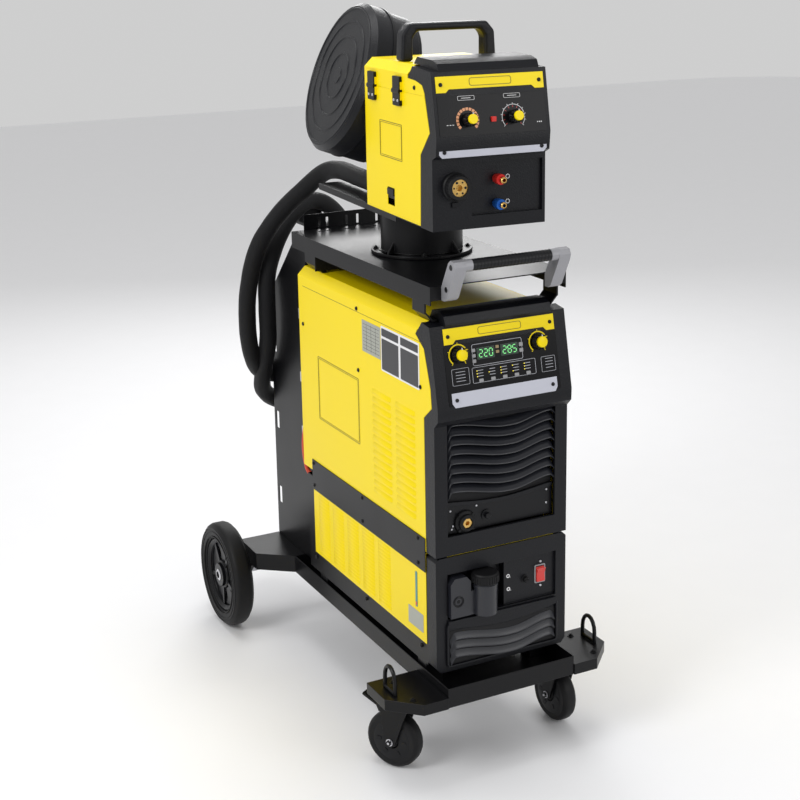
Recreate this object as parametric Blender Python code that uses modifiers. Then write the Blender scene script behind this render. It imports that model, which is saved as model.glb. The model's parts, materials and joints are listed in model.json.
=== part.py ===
"""MIG welder on a cart: power source, water cooler and a swivelling wire feeder on a wheeled frame.

Metres, +Z up. The front faces -Y, +X is on the right hand when looking at the back of the machine's
controls from the rear, and the origin is on the floor under the middle of the whole machine.
"""

import math

import bmesh
import bpy
from mathutils import Matrix, Vector

OBJECT_NAME = "mig_welder_on_cart"

# --- driving dimensions -------------------------------------------------------------------------
GAP = 0.0003
SHEET = 0.0025

TRAY_X, TRAY_FRONT, TRAY_REAR = 0.156, -0.5575, 0.246
TRAY_BOTTOM, TRAY_TOP = 0.181, 0.225
WING_X, WING_TOP, WING_FRONT, WING_REAR = 0.276, 0.206, -0.561, -0.414
WING_CHAMFER = 0.061
DECK_X, DECK_REAR, DECK_CORNER = 0.236, 0.4185, 0.310

PEDAL_PIN = (0.042, 0.1500)
PEDAL = [(0.0370, 0.1465), (0.0420, 0.1300), (0.0540, 0.1300), (0.0600, 0.1425), (0.0950, 0.1600), (0.0930, 0.1645),
         (0.0590, 0.1480), (0.0470, 0.1530), (0.0370, 0.1530)]
REAR_WHEEL_R, REAR_WHEEL_X, REAR_WHEEL_W, REAR_AXLE_Y = 0.136, 0.276, 0.050, 0.425
AXLE_R = 0.010
CASTER_R, CASTER_W = 0.064, 0.036
CASTER_TRAIL = 0.026
CASTERS = {  # swivel axis X, Y and the way the wheel points at rest
    "left": (-0.2000, -0.4445, math.radians(33.0)),
    "right": (0.2000, -0.4445, math.radians(3.0)),
}

CRADLE_X, CRADLE_FRONT, CRADLE_REAR, CRADLE_TOP = 0.127, 0.1855, 0.418, 1.110
SHELF_X, SHELF_FRONT, SHELF_TOP, SHELF_FLANGE = 0.160, -0.505, 1.074, 0.038

SOURCE_X, SOURCE_REAR, SOURCE_BOTTOM, SOURCE_TOP = 0.160, 0.156, 0.502, 0.995
SOURCE_CHAMFER = 0.019
COOLER_REAR, COOLER_BOTTOM, COOLER_TOP, COOLER_YELLOW = 0.102, 0.243, 0.4985, 0.292
FILLER = (-0.0485, -0.5260)
STRAP_BOTTOM, STRAP_TOP, STRAP_T = 0.4555, 0.5317, 0.0022

FEEDER_PIVOT = (0.0, -0.1714, 0.0)
FEEDER_TURN = -0.0797
FEEDER_X, FEEDER_REAR, FEEDER_BOTTOM, FEEDER_TOP = 0.124, 0.006, 1.186, 1.500
FEEDER_CHAMFER = 0.018
DOOR_TOP = 1.4455
HINGES = (-0.043, -0.180)

SPOOL_CENTRE = (-0.1225, 0.178, 1.449)
SPOOL_TILT = math.radians(20.0)
SPOOL_R, LID_DEPTH, DRUM_DEPTH = 0.170, 0.052, 0.126

HOSE_D = 0.046
GLAND_X, GLAND_Z = -0.064, 1.2125

# Side outlines, as (Y, Z). Each "edge" is where a yellow cover meets its plastic front.
SOURCE_EDGE = [(-0.4740, 0.5347), (-0.4722, 0.7956), (-0.5057, 0.8230), (-0.5015, 0.8628),
               (-0.4753, 0.9410), (-0.4398, 0.9649), (-0.4660, 0.9985)]
SOURCE_FRONT = [(-0.4990, 0.9900), (-0.5320, 0.8250), (-0.5310, 0.8000), (-0.5155, 0.7850), (-0.5155, 0.5015)]
FEEDER_EDGE = [(-0.2831, 1.1860), (-0.2873, 1.3292), (-0.3332, 1.3760), (-0.3094, 1.4511),
               (-0.2975, 1.4657), (-0.2659, 1.4722), (-0.2276, 1.4744)]
FEEDER_FRONT = [(-0.2500, 1.4990), (-0.3400, 1.4930), (-0.3640, 1.3700), (-0.3600, 1.3330),
                (-0.3425, 1.3250), (-0.3425, 1.1830), (-0.2832, 1.1830)]

YELLOW = (0.95, 0.72, 0.01)
BLACK = (0.022, 0.022, 0.024)
PLASTIC = (0.035, 0.036, 0.042)
RUBBER = (0.020, 0.020, 0.021)
GREY = (0.42, 0.43, 0.45)
BRASS = (0.72, 0.52, 0.22)
STEEL = (0.60, 0.60, 0.62)
RED = (0.70, 0.05, 0.04)
BLUE = (0.03, 0.22, 0.65)


# --- helpers ------------------------------------------------------------------------------------
def material(name, colour, roughness, metallic=0.0):
    made = bpy.data.materials.new(name)
    made.use_nodes = True
    shader = made.node_tree.nodes["Principled BSDF"]
    shader.inputs["Base Color"].default_value = (*colour, 1.0)
    shader.inputs["Roughness"].default_value = roughness
    shader.inputs["Metallic"].default_value = metallic
    return made


def finish(name, mesh, look, parent=None, cutter=False):
    """Makes the object, in the parts' or the cutters' collection."""
    made = bpy.data.objects.new(name, mesh)
    (CUTTERS if cutter else PARTS).objects.link(made)
    if look is not None:
        mesh.materials.append(look)
    made.parent = parent
    if cutter:
        made.hide_render = True
        made.display_type = "WIRE"
    return made


def mesh_from(builder):
    shape = bmesh.new()
    builder(shape)
    bmesh.ops.recalc_face_normals(shape, faces=shape.faces)
    mesh = bpy.data.meshes.new("mesh")
    shape.to_mesh(mesh)
    shape.free()
    return mesh


def box(name, low, high, look=None, parent=None, cutter=False):
    size = [b - a for a, b in zip(low, high)]
    middle = [(a + b) / 2 for a, b in zip(low, high)]

    def build(shape):
        bmesh.ops.create_cube(shape, size=1.0, matrix=Matrix.LocRotScale(middle, None, size))

    return finish(name, mesh_from(build), look, parent, cutter)


def rod(name, start, end, radius, look=None, parent=None, cutter=False, sides=20):
    """A plain round bar from start to end."""
    start, end = Vector(start), Vector(end)
    turn = (end - start).to_track_quat("Z", "Y")

    def build(shape):
        bmesh.ops.create_cone(shape, cap_ends=True, segments=sides, radius1=radius, radius2=radius,
                              depth=(end - start).length,
                              matrix=Matrix.LocRotScale((start + end) / 2, turn, None))

    made = finish(name, mesh_from(build), look, parent, cutter)
    made.data.shade_smooth()
    made.data.set_sharp_from_angle(angle=math.radians(40))
    return made


# The matrices that stand a flat outline up: (Y, Z) pushed along X, (X, Z) pushed along Y, (X, Y) along Z.
ALONG = {
    "X": Matrix(((0, 0, 1, 0), (1, 0, 0, 0), (0, 1, 0, 0), (0, 0, 0, 1))),
    "Y": Matrix(((1, 0, 0, 0), (0, 0, -1, 0), (0, 1, 0, 0), (0, 0, 0, 1))),
    "Z": Matrix.Identity(4),
}


def realise(curve, name, look, parent, cutter):
    """Turns a curve object into a welded mesh object."""
    bpy.context.view_layer.update()
    graph = bpy.context.evaluated_depsgraph_get()
    mesh = bpy.data.meshes.new_from_object(curve.evaluated_get(graph))
    mesh.transform(curve.matrix_world)
    shape = bmesh.new()
    shape.from_mesh(mesh)
    bmesh.ops.remove_doubles(shape, verts=shape.verts, dist=0.00001)
    bmesh.ops.recalc_face_normals(shape, faces=shape.faces)
    shape.to_mesh(mesh)
    shape.free()
    mesh.materials.clear()
    data = curve.data
    bpy.data.objects.remove(curve)
    bpy.data.curves.remove(data)
    return finish(name, mesh, look, parent, cutter)


def prism(name, outline, axis, low, high, look=None, parent=None, cutter=False):
    """A flat outline pushed along an axis from low to high."""
    data = bpy.data.curves.new(name + "_outline", "CURVE")
    data.dimensions = "2D"
    data.fill_mode = "BOTH"
    data.extrude = (high - low) / 2
    line = data.splines.new("POLY")
    line.points.add(len(outline) - 1)
    for point, (a, b) in zip(line.points, outline):
        point.co = (a, b, 0.0, 1.0)
    line.use_cyclic_u = True
    curve = bpy.data.objects.new(name + "_outline", data)
    PARTS.objects.link(curve)
    middle = (low + high) / 2
    shift = {"X": (middle, 0, 0), "Y": (0, middle, 0), "Z": (0, 0, middle)}[axis]
    curve.matrix_world = Matrix.Translation(shift) @ ALONG[axis]
    return realise(curve, name, look, parent, cutter)


def turned(name, profile, place, axis, look=None, parent=None, steps=32):
    """A profile of (radius, height) pairs, outer side top to bottom, turned round an axis at a place."""
    mesh = bpy.data.meshes.new(name)
    ring = profile[0] == profile[-1]
    points = [(radius, 0.0, height) for radius, height in (profile[:-1] if ring else profile)]
    count = len(points)
    mesh.from_pydata(points, [(i, (i + 1) % count) for i in range(count if ring else count - 1)], [])
    made = finish(name, mesh, look, parent)
    screw = made.modifiers.new("Turn", "SCREW")
    screw.steps = screw.render_steps = steps
    screw.use_merge_vertices = True
    screw.merge_threshold = 0.00005
    screw.use_normal_calculate = False
    made.location = place
    made.rotation_euler = Vector((0, 0, 1)).rotation_difference(Vector(axis)).to_euler()
    return made


def freeze(made):
    """Applies an object's modifiers and its own place, keeping its parent."""
    graph = bpy.context.evaluated_depsgraph_get()
    graph.update()
    mesh = bpy.data.meshes.new_from_object(made.evaluated_get(graph))
    made.modifiers.clear()
    mesh.transform(made.matrix_basis)
    made.matrix_basis = Matrix.Identity(4)
    shape = bmesh.new()
    shape.from_mesh(mesh)
    bmesh.ops.remove_doubles(shape, verts=shape.verts, dist=0.00001)
    bmesh.ops.recalc_face_normals(shape, faces=shape.faces)
    shape.to_mesh(mesh)
    shape.free()
    made.data = mesh
    return made


def combine(made, others, operation):
    """Joins or cuts an object with others, which are then removed. All share the object's parent."""
    for other in others:
        other.parent = made.parent
        step = made.modifiers.new(operation, "BOOLEAN")
        step.operation = operation
        step.solver = "EXACT"
        step.object = other
        bpy.context.view_layer.update()
        graph = bpy.context.evaluated_depsgraph_get()
        mesh = bpy.data.meshes.new_from_object(made.evaluated_get(graph))
        made.modifiers.clear()
        made.data = mesh
        bpy.data.objects.remove(other)
    return made


def join(made, *others):
    return combine(made, others, "UNION")


def cut(made, *others):
    return combine(made, others, "DIFFERENCE")


def hollow(made, thickness):
    """Makes an open surface into a sheet that lies inside it."""
    wall = made.modifiers.new("Wall", "SOLIDIFY")
    wall.thickness = thickness
    wall.offset = -1.0
    wall.use_even_offset = True
    return made


def open_side(made, direction):
    """Removes the faces that look in a direction, so that a closed shape becomes a tray or a tunnel."""
    direction = Vector(direction)
    shape = bmesh.new()
    shape.from_mesh(made.data)
    doomed = [face for face in shape.faces if face.normal.dot(direction) > 0.99]
    bmesh.ops.delete(shape, geom=doomed, context="FACES")
    shape.to_mesh(made.data)
    shape.free()
    return made


def pivot_at(made, place):
    """Moves an object's origin to its joint."""
    made.data.transform(Matrix.Translation([-value for value in place]))
    made.location = place
    return made


def smooth_route(points, per_span=5):
    """A smooth curve through the given points."""
    points = [Vector(point) for point in points]
    ends = [2 * points[0] - points[1], *points, 2 * points[-1] - points[-2]]
    route = []
    for a, b, c, d in zip(ends, ends[1:], ends[2:], ends[3:]):
        for step in range(per_span):
            t = step / per_span
            route.append(0.5 * (2 * b + (c - a) * t + (2 * a - 5 * b + 4 * c - d) * t * t
                                + (3 * b - 3 * c + d - a) * t ** 3))
    return [*route, points[-1]]


def tube(name, points, radius, look=None, parent=None, fine=2, cutter=False, as_mesh=False):
    """A round bar or hose along points."""
    data = bpy.data.curves.new(name, "CURVE")
    data.dimensions = "3D"
    data.bevel_depth = radius
    data.bevel_resolution = fine
    data.use_fill_caps = True
    line = data.splines.new("POLY")
    line.points.add(len(points) - 1)
    for point, place in zip(line.points, points):
        point.co = (*place, 1.0)
    made = bpy.data.objects.new(name, data)
    PARTS.objects.link(made)
    if as_mesh:
        return realise(made, name, look, parent, cutter)
    data.materials.append(look)
    made.parent = parent
    return made


# --- the cart -----------------------------------------------------------------------------------
def make_base_tray(look):
    """The folded pan that carries the cooler."""
    tray = box("base_tray", (-TRAY_X, TRAY_FRONT, TRAY_BOTTOM), (TRAY_X, TRAY_REAR, TRAY_TOP), look)
    hollow(open_side(tray, (0, 0, 1)), SHEET)


def make_deck_wing(side, sign, look):
    """A folded outrigger, welded to the side of the pan, that a caster bolts under."""
    inner = TRAY_X + GAP
    outline = [(inner, WING_FRONT), (WING_X - WING_CHAMFER, WING_FRONT), (WING_X, WING_FRONT + WING_CHAMFER),
               (WING_X, WING_REAR), (inner, WING_REAR)]
    wing = prism(f"deck_wing_{side}", [(sign * x, y) for x, y in outline], "Z", TRAY_BOTTOM, WING_TOP, look)
    hollow(open_side(wing, (0, 0, -1)), SHEET)


def make_rear_deck(look):
    """The folded platform behind the pan, with the two plates that hold the rear axle."""
    half = [(TRAY_X, TRAY_REAR + GAP), (DECK_X, DECK_CORNER), (DECK_X, DECK_REAR)]
    outline = half + [(-x, y) for x, y in reversed(half)]
    deck = prism("rear_deck", outline, "Z", TRAY_BOTTOM, TRAY_TOP, look)
    freeze(hollow(open_side(deck, (0, 0, -1)), SHEET))
    join(deck, box("plate_foot", (-0.1170, 0.2500, TRAY_TOP - 0.0010), (0.1170, 0.4130, TRAY_TOP + 0.0010), cutter=True),
         box("cylinder_plate", (-0.1170, 0.1930, TRAY_TOP + GAP), (0.1170, 0.4130, TRAY_TOP + 0.0018), cutter=True))
    for sign in (-1, 1):
        plate_x = sign * 0.2305
        outline = [(0.350, TRAY_TOP - 0.010), (0.350, 0.175), (REAR_AXLE_Y - 0.022, 0.116),
                   (REAR_AXLE_Y + 0.022, 0.116), (REAR_AXLE_Y + 0.022, 0.165), (0.412, TRAY_TOP - 0.010)]
        join(deck, prism("plate", outline, "X", plate_x - 0.0045, plate_x + 0.0045, cutter=True))
        cut(deck, rod("bore", (plate_x - 0.02, REAR_AXLE_Y, REAR_WHEEL_R),
                      (plate_x + 0.02, REAR_AXLE_Y, REAR_WHEEL_R), AXLE_R + GAP, cutter=True))


def make_rear_axle(look):
    end = REAR_WHEEL_X + REAR_WHEEL_W / 2
    rod("rear_axle", (-end, REAR_AXLE_Y, REAR_WHEEL_R), (end, REAR_AXLE_Y, REAR_WHEEL_R), AXLE_R, look)


def make_rear_wheel(side, sign, rubber, plastic):
    """A solid tyre on a spoked rim."""
    place = (sign * REAR_WHEEL_X, REAR_AXLE_Y, REAR_WHEEL_R)
    half, rim = REAR_WHEEL_W / 2, 0.096
    tyre = [(rim, half - 0.004), (rim + 0.012, half), (REAR_WHEEL_R - 0.012, half), (REAR_WHEEL_R - 0.003, half - 0.006),
            (REAR_WHEEL_R, half - 0.015), (REAR_WHEEL_R, 0.015 - half), (REAR_WHEEL_R - 0.003, 0.006 - half),
            (REAR_WHEEL_R - 0.012, -half), (rim + 0.012, -half), (rim, 0.004 - half), (rim, half - 0.004)]
    turned(f"rear_tyre_{side}", tyre, place, (1, 0, 0), rubber, steps=40)
    hub, web = 0.030, 0.008
    wheel = [(AXLE_R + GAP, half - 0.003), (hub, half - 0.003), (hub, web), (rim - 0.012, web), (rim - 0.008, half - 0.008),
             (rim - GAP, half - 0.008), (rim - GAP, 0.008 - half), (rim - 0.008, 0.008 - half), (rim - 0.012, -web),
             (hub, -web), (hub, 0.003 - half), (AXLE_R + GAP, 0.003 - half), (AXLE_R + GAP, half - 0.003)]
    disc = freeze(turned("rim", wheel, place, (1, 0, 0), None, steps=40))
    disc.name = f"rear_rim_{side}"
    disc.data.materials.append(plastic)
    for step in range(5):
        angle = 2 * math.pi * (step + 0.5) / 5
        centre = (0, REAR_AXLE_Y + 0.057 * math.sin(angle), REAR_WHEEL_R + 0.057 * math.cos(angle))
        cut(disc, rod("window", (sign * (REAR_WHEEL_X - 0.05), *centre[1:]), (sign * (REAR_WHEEL_X + 0.05), *centre[1:]),
                      0.019, cutter=True, sides=12))
    pivot_at(disc, place)


def caster_frame(side):
    """An empty at the floor under the swivel axis, turned the way the caster points."""
    x, y, turn = CASTERS[side]
    frame = bpy.data.objects.new(f"caster_{side}_swivel", None)
    PARTS.objects.link(frame)
    frame.location = (x, y, 0)
    frame.rotation_euler = (0, 0, turn)
    return frame


def make_caster(side, steel, rubber):
    """Fork, wheel and brake pedal. The wheel trails behind the swivel axis, along local +Y."""
    frame = caster_frame(side)
    top, axle = TRAY_BOTTOM - 0.0008, (0, CASTER_TRAIL, CASTER_R)
    fork = rod(f"caster_fork_{side}", (0, 0, 0.158), (0, 0, top), 0.034, steel, frame, sides=28)
    cheek = [(-0.018, 0.160), (-0.018, 0.148), (0.013, 0.060), (0.026, 0.049), (0.039, 0.060), (0.048, 0.148), (0.048, 0.160)]
    inner, outer = CASTER_W / 2 + 0.004, CASTER_W / 2 + 0.008
    join(fork, box("crown", (-outer, -0.018, 0.1545), (outer, 0.048, 0.1595), None, frame, True),
         rod("axle", (-outer - 0.005, *axle[1:]), (outer + 0.005, *axle[1:]), 0.006, None, frame, True, sides=12),
         rod("pedal_pin", (-outer, *PEDAL_PIN), (outer, *PEDAL_PIN), 0.003, None, frame, True, sides=8),
         *[prism("cheek", cheek, "X", low, low + 0.004, None, frame, True) for low in (-outer, inner)])
    half, bore = CASTER_W / 2, 0.0063
    wheel = [(bore, half + 0.002), (0.014, half + 0.002), (0.018, half - 0.006), (0.040, half - 0.006), (0.043, half - 0.001),
             (CASTER_R - 0.008, half), (CASTER_R - 0.002, half - 0.005), (CASTER_R, half - 0.011), (CASTER_R, 0.011 - half),
             (CASTER_R - 0.002, 0.005 - half), (CASTER_R - 0.008, -half), (0.043, 0.001 - half), (0.040, 0.006 - half),
             (0.018, 0.006 - half), (0.014, -half - 0.002), (bore, -half - 0.002), (bore, half + 0.002)]
    turned(f"caster_wheel_{side}", wheel, axle, (1, 0, 0), rubber, frame)
    pedal = prism(f"caster_brake_{side}", PEDAL, "X", -inner + GAP, inner - GAP, steel, frame)
    cut(pedal, rod("bore", (-0.05, *PEDAL_PIN), (0.05, *PEDAL_PIN), 0.0033, None, frame, True, sides=8))
    pivot_at(pedal, (0, *PEDAL_PIN))


def make_lifting_eye(side, sign, look):
    """A bent bar, welded upright on the wing."""
    x, middle, half, leg = sign * 0.250, -0.4745, 0.0235, 0.026
    points = [(x, middle - half, WING_TOP + GAP)]
    for step in range(9):
        angle = math.pi * (1 - step / 8)
        points.append((x, middle + half * math.cos(angle), WING_TOP + leg + 1.35 * half * math.sin(angle)))
    points.append((x, middle + half, WING_TOP + GAP))
    eye = tube(f"lifting_eye_{side}", points, 0.0045, look, fine=3, as_mesh=True)
    bar = tube("foot", [(x, middle - half - 0.002, WING_TOP + 0.005), (x, middle + half + 0.002, WING_TOP + 0.005)],
               0.0042, fine=3, cutter=True, as_mesh=True)
    join(eye, bar)


def make_gas_cradle(look):
    """The tall channel behind the power source, open to the rear, that a gas cylinder stands in."""
    cradle = box("gas_cradle", (-CRADLE_X, CRADLE_FRONT, TRAY_TOP + GAP), (CRADLE_X, CRADLE_REAR, CRADLE_TOP), look)
    for direction in ((0, 1, 0), (0, 0, 1), (0, 0, -1)):
        open_side(cradle, direction)
    freeze(hollow(cradle, SHEET))
    slope = [(CRADLE_FRONT + SHEET, 1.2), (CRADLE_FRONT + SHEET, 1.036), (0.255, 1.036), (CRADLE_REAR + 0.002, 0.871), (0.5, 0.871), (0.5, 1.2)]
    cut(cradle, prism("slope", slope, "X", -0.2, 0.2, cutter=True))
    window = box("window", (-0.085, CRADLE_FRONT - 0.01, 0.640), (0.085, CRADLE_FRONT + 0.01, 0.860), cutter=True)
    cut(cradle, window)
    for x in (-0.087, -0.066, -0.0145, 0.0145, 0.066, 0.087):
        cut(cradle, box("slot", (x - 0.003, CRADLE_FRONT - 0.01, 1.078), (x + 0.003, CRADLE_FRONT + 0.01, 1.100), cutter=True))
    for low in (0.315, 0.520, 0.725):
        cut(cradle, box("slot", (-0.2, CRADLE_REAR - 0.030, low), (0.2, CRADLE_REAR - 0.014, low + 0.045), cutter=True))
    hook = [(CRADLE_FRONT + 0.001, 1.036), (CRADLE_FRONT + 0.001, 0.980), (0.300, 1.028), (0.505, 1.028), (0.505, 1.090),
            (0.497, 1.090), (0.497, 1.036)]
    join(cradle, prism("hook", hook, "X", -0.010, 0.060, cutter=True))


def make_shelf(look):
    """The shelf over the power source, on its four legs."""
    shelf = box("shelf", (-SHELF_X, SHELF_FRONT, SHELF_TOP - SHELF_FLANGE), (SHELF_X, CRADLE_FRONT - GAP, SHELF_TOP), look)
    for direction in ((0, 0, -1), (0, 1, 0), (0, -1, 0)):
        open_side(shelf, direction)
    freeze(hollow(shelf, SHEET))
    deep = SHELF_TOP - 0.001
    low = SOURCE_TOP + GAP
    leg = SHELF_X - 0.0015
    for sign in (-1, 1):
        for front, rear in ((-0.478, -0.426), (0.054, 0.114)):
            xs = sorted((sign * leg, sign * (leg - 0.004)))
            join(shelf, box("leg", (xs[0], front, low + 0.018), (xs[1], rear, deep), cutter=True))
            outline = [(sign * leg, low + 0.020), (sign * (leg - 0.018), low), (sign * (leg - 0.030), low),
                       (sign * (leg - 0.030), low + 0.003), (sign * (leg - 0.0195), low + 0.003),
                       (sign * (leg - 0.004), low + 0.021)]
            join(shelf, prism("foot", outline, "Y", front, rear, cutter=True))
        xs = sorted((sign * (SHELF_X - 0.0005), sign * (SHELF_X - 0.031)))
        join(shelf, box("ear", (xs[0], SHELF_FRONT, 1.045), (xs[1], SHELF_FRONT + 0.003, deep), cutter=True))
    join(shelf, box("cross_plate", (-SHELF_X + 0.001, 0.0535, low + 0.006), (SHELF_X - 0.001, 0.0565, deep), cutter=True))


def make_pedestal(look):
    """The fixed lower half of the feeder's swivel: flange, column and four gussets."""
    low = SHELF_TOP + GAP
    height = FEEDER_BOTTOM - 0.0060 - low
    profile = [(0.070, height), (0.0905, height), (0.0905, 0.007), (0.112, 0.007), (0.112, 0.0), (0.070, 0.0), (0.070, height)]
    pedestal = freeze(turned("swivel_pedestal", profile, (*FEEDER_PIVOT[:2], low), (0, 0, 1), look, steps=48))
    for angle in (20, 110, 200, 290):
        turn = Matrix.Translation((*FEEDER_PIVOT[:2], 0)) @ Matrix.Rotation(math.radians(angle), 4, "Z")
        rib = prism("rib", [(0.088, low + 0.004), (0.110, low + 0.004), (0.110, low + 0.010), (0.088, low + 0.034)],
                    "Y", -0.002, 0.002, cutter=True)
        rib.data.transform(turn)
        join(pedestal, rib)


def make_push_handle(metal, rubber):
    """Two cast arms with a ribbed rubber grip between them."""
    foot_y, grip_y, grip_z = SHELF_FRONT - GAP, -0.5475, 1.1195
    for side, sign in (("left", -1), ("right", 1)):
        outline = [(foot_y, 1.045), (foot_y, 1.072), (grip_y + 0.013, grip_z + 0.006), (grip_y + 0.004, grip_z + 0.0125),
                   (grip_y - 0.008, grip_z + 0.010), (grip_y - 0.0135, grip_z), (grip_y - 0.010, grip_z - 0.012),
                   (-0.528, 1.052), (-0.518, 1.045)]
        xs = sorted((sign * 0.1345, sign * 0.1075))
        arm = prism(f"handle_arm_{side}", outline, "X", *xs, metal)
        inner = sign * 0.0915
        join(arm, rod("socket", (sign * 0.110, grip_y, grip_z), (inner, grip_y, grip_z), 0.0125, cutter=True))
    tube("push_grip", [(x, grip_y, grip_z) for x in (-0.0915 + GAP, 0.0, 0.0915 - GAP)], 0.0120, rubber, fine=4)


# --- the power source ---------------------------------------------------------------------------
def cover_outline(half, bottom, top, chamfer):
    """The (X, Z) outline of a folded cover with broken upper corners."""
    return [(-half, bottom), (half, bottom), (half, top - chamfer), (half - chamfer, top),
            (-half + chamfer, top), (-half, top - chamfer)]


def front_zone(name, edge, reach, parent=None):
    """Everything in front of a cover's edge, grown by the gap, as a cutter."""
    low, high = edge[0][1] - 0.2, edge[-1][1] + 0.2
    outline = [(edge[0][0] + GAP, low), *[(y + GAP, z) for y, z in edge], (edge[-1][0] + GAP, high), (reach, high), (reach, low)]
    return prism(name, outline, "X", -0.3, 0.3, None, parent, True)


def make_source_cover(look):
    """The yellow folded cover: sides and top, with stamped louvres and an open underside."""
    outline = cover_outline(SOURCE_X, SOURCE_BOTTOM, SOURCE_TOP, SOURCE_CHAMFER)
    cover = prism("source_cover", outline, "Y", -0.54, SOURCE_REAR, look)
    for direction in ((0, 0, -1), (0, 1, 0), (0, -1, 0)):
        open_side(cover, direction)
    freeze(hollow(cover, 0.0015))
    cut(cover, front_zone("front", SOURCE_EDGE, -0.8))


def make_source_chassis(look):
    """Floor, rear panel with its ports, and front bulkhead."""
    wall = SOURCE_X - 0.0018
    chassis = box("source_chassis", (-wall, -0.470, SOURCE_BOTTOM + GAP), (wall, 0.150, 0.970), look)
    for direction in ((0, 0, 1), (1, 0, 0), (-1, 0, 0), (0, -1, 0)):
        open_side(chassis, direction)
    freeze(hollow(chassis, 0.003))
    cut(chassis, rod("fan_hole", (0, 0.1, 0.880), (0, 0.2, 0.880), 0.055, cutter=True, sides=32))
    cut(chassis, rod("gland_hole", (0.055, 0.1, 0.700), (0.055, 0.2, 0.700), HOSE_D / 2 + 0.0005, cutter=True, sides=24))


def make_source_bezel(look):
    """The moulded front, with its raised visor and the window for the air grille."""
    rear = [(y - GAP, z) for y, z in SOURCE_EDGE]
    outline = [(SOURCE_EDGE[0][0] - GAP, 0.5015), *rear[:-1], (-0.4663, 0.9945), *SOURCE_FRONT]
    bezel = prism("source_bezel", outline, "X", -SOURCE_X + 0.0005, SOURCE_X - 0.0005, look)
    visor = [(-0.497, 0.980), (-0.504, 0.992), (-0.497, 1.008), (-0.480, 1.015), (-0.448, 1.013), (-0.440, 0.9965),
             (-0.4670, 0.9965), (-0.4670, 0.980)]
    join(bezel, prism("visor", visor, "X", -0.1255, 0.1255, cutter=True))
    cut(bezel, box("hollow_low", (-0.152, -0.5085, 0.5095), (0.152, -0.40, 0.785), cutter=True),
        box("hollow_high", (-0.152, -0.5000, 0.785), (0.152, -0.40, 0.955), cutter=True),
        box("window", (-0.1300, -0.56, 0.5430), (0.1300, -0.50, 0.7860), cutter=True))


def make_source_grille(look):
    """The panel behind the window: slats above, a flat socket plate below."""
    back, face, ridge = -0.4900, -0.4960, -0.5135
    slats = []
    count, low, high = 8, 0.5960, 0.7846
    pitch = (high - low) / count
    for step in range(count):
        z = low + step * pitch
        slats += [(ridge, z), (ridge, z + 0.004), (face, z + 0.009), (face, z + pitch)]
    outline = [(back, 0.5435), (-0.5000, 0.5435), (-0.5000, 0.5900), (ridge, 0.5900), *slats, (back, high)]
    grille = prism("source_grille", outline, "X", -0.1295, 0.1295, look)
    cut(grille, rod("socket_hole", (-0.0841, -0.55, 0.5660), (-0.0841, -0.45, 0.5660), 0.0185, cutter=True))


def make_output_socket(look):
    """The round welding-current socket, open to the front."""
    profile = [(0.0, 0.008), (0.0060, 0.008), (0.0060, 0.022), (0.0115, 0.022), (0.0180, 0.018), (0.0180, -0.030), (0.0, -0.030)]
    freeze(turned("output_socket", profile, (-0.0841, -0.497, 0.5660), (0, -1, 0), look, steps=24))


def panel_knob(name, place, axis, radius, length, look, parent=None):
    """A turned knob that stands on a panel, its origin on its shaft."""
    profile = [(0.0, length), (radius * 0.55, length), (radius * 0.62, length * 0.9), (radius * 0.68, length * 0.35),
               (radius, length * 0.25), (radius, GAP), (0.0, GAP)]
    turned(name, profile, place, axis, look, parent, steps=24)


def source_panel_point(x, z):
    """A point on the sloping control panel."""
    (y1, z1), (y0, z0) = SOURCE_FRONT[0], SOURCE_FRONT[1]
    return (x, y0 + (z - z0) * (y1 - y0) / (z1 - z0), z)


def panel_normal(front):
    (y1, z1), (y0, z0) = front
    return Vector((0, -(z1 - z0), y1 - y0)).normalized()


def make_source_knobs(look):
    normal = panel_normal(SOURCE_FRONT[:2])
    for side, x, z in (("left", -0.1010, 0.9290), ("right", 0.0880, 0.9310)):
        panel_knob(f"source_knob_{side}", source_panel_point(x, z), normal, 0.0150, 0.020, look)


def make_source_inverter(look):
    """The power block: a finned heat sink with its transformer, on the chassis floor."""
    low = SOURCE_BOTTOM + 0.0036
    fins = [(-0.095, low), (0.095, low), (0.095, low + 0.150)]
    count = 7
    for step in range(count):
        x = 0.085 - step * 0.0265
        fins += [(x, low + 0.150), (x, low + 0.205), (x - 0.008, low + 0.205), (x - 0.008, low + 0.150)]
    fins += [(-0.095, low + 0.150)]
    prism("source_inverter", fins, "Y", -0.400, -0.060, look)


def make_fan(name, place, radius, look):
    """Hub and blades, turning about the Y axis."""
    x, y, z = place
    fan = rod(name, (x, y - 0.010, z), (x, y + 0.010, z), 0.016, look, sides=20)
    for step in range(5):
        turn = (Matrix.Translation(place) @ Matrix.Rotation(2 * math.pi * step / 5, 4, "Y")
                @ Matrix.Rotation(math.radians(28), 4, "Z"))
        blade = box("blade", (-0.011, -0.001, 0.012), (0.011, 0.001, radius), cutter=True)
        blade.data.transform(turn)
        join(fan, blade)
    pivot_at(fan, place)


# --- the cooler ---------------------------------------------------------------------------------
def make_cooler_cover(look):
    """The yellow folded cover of the cooler: two sides joined over the top."""
    cover = box("cooler_cover", (-SOURCE_X, -0.472, COOLER_YELLOW), (SOURCE_X, COOLER_REAR, COOLER_TOP), look)
    for direction in ((0, 0, -1), (0, 1, 0), (0, -1, 0)):
        open_side(cover, direction)
    hollow(cover, 0.0015)


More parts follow.
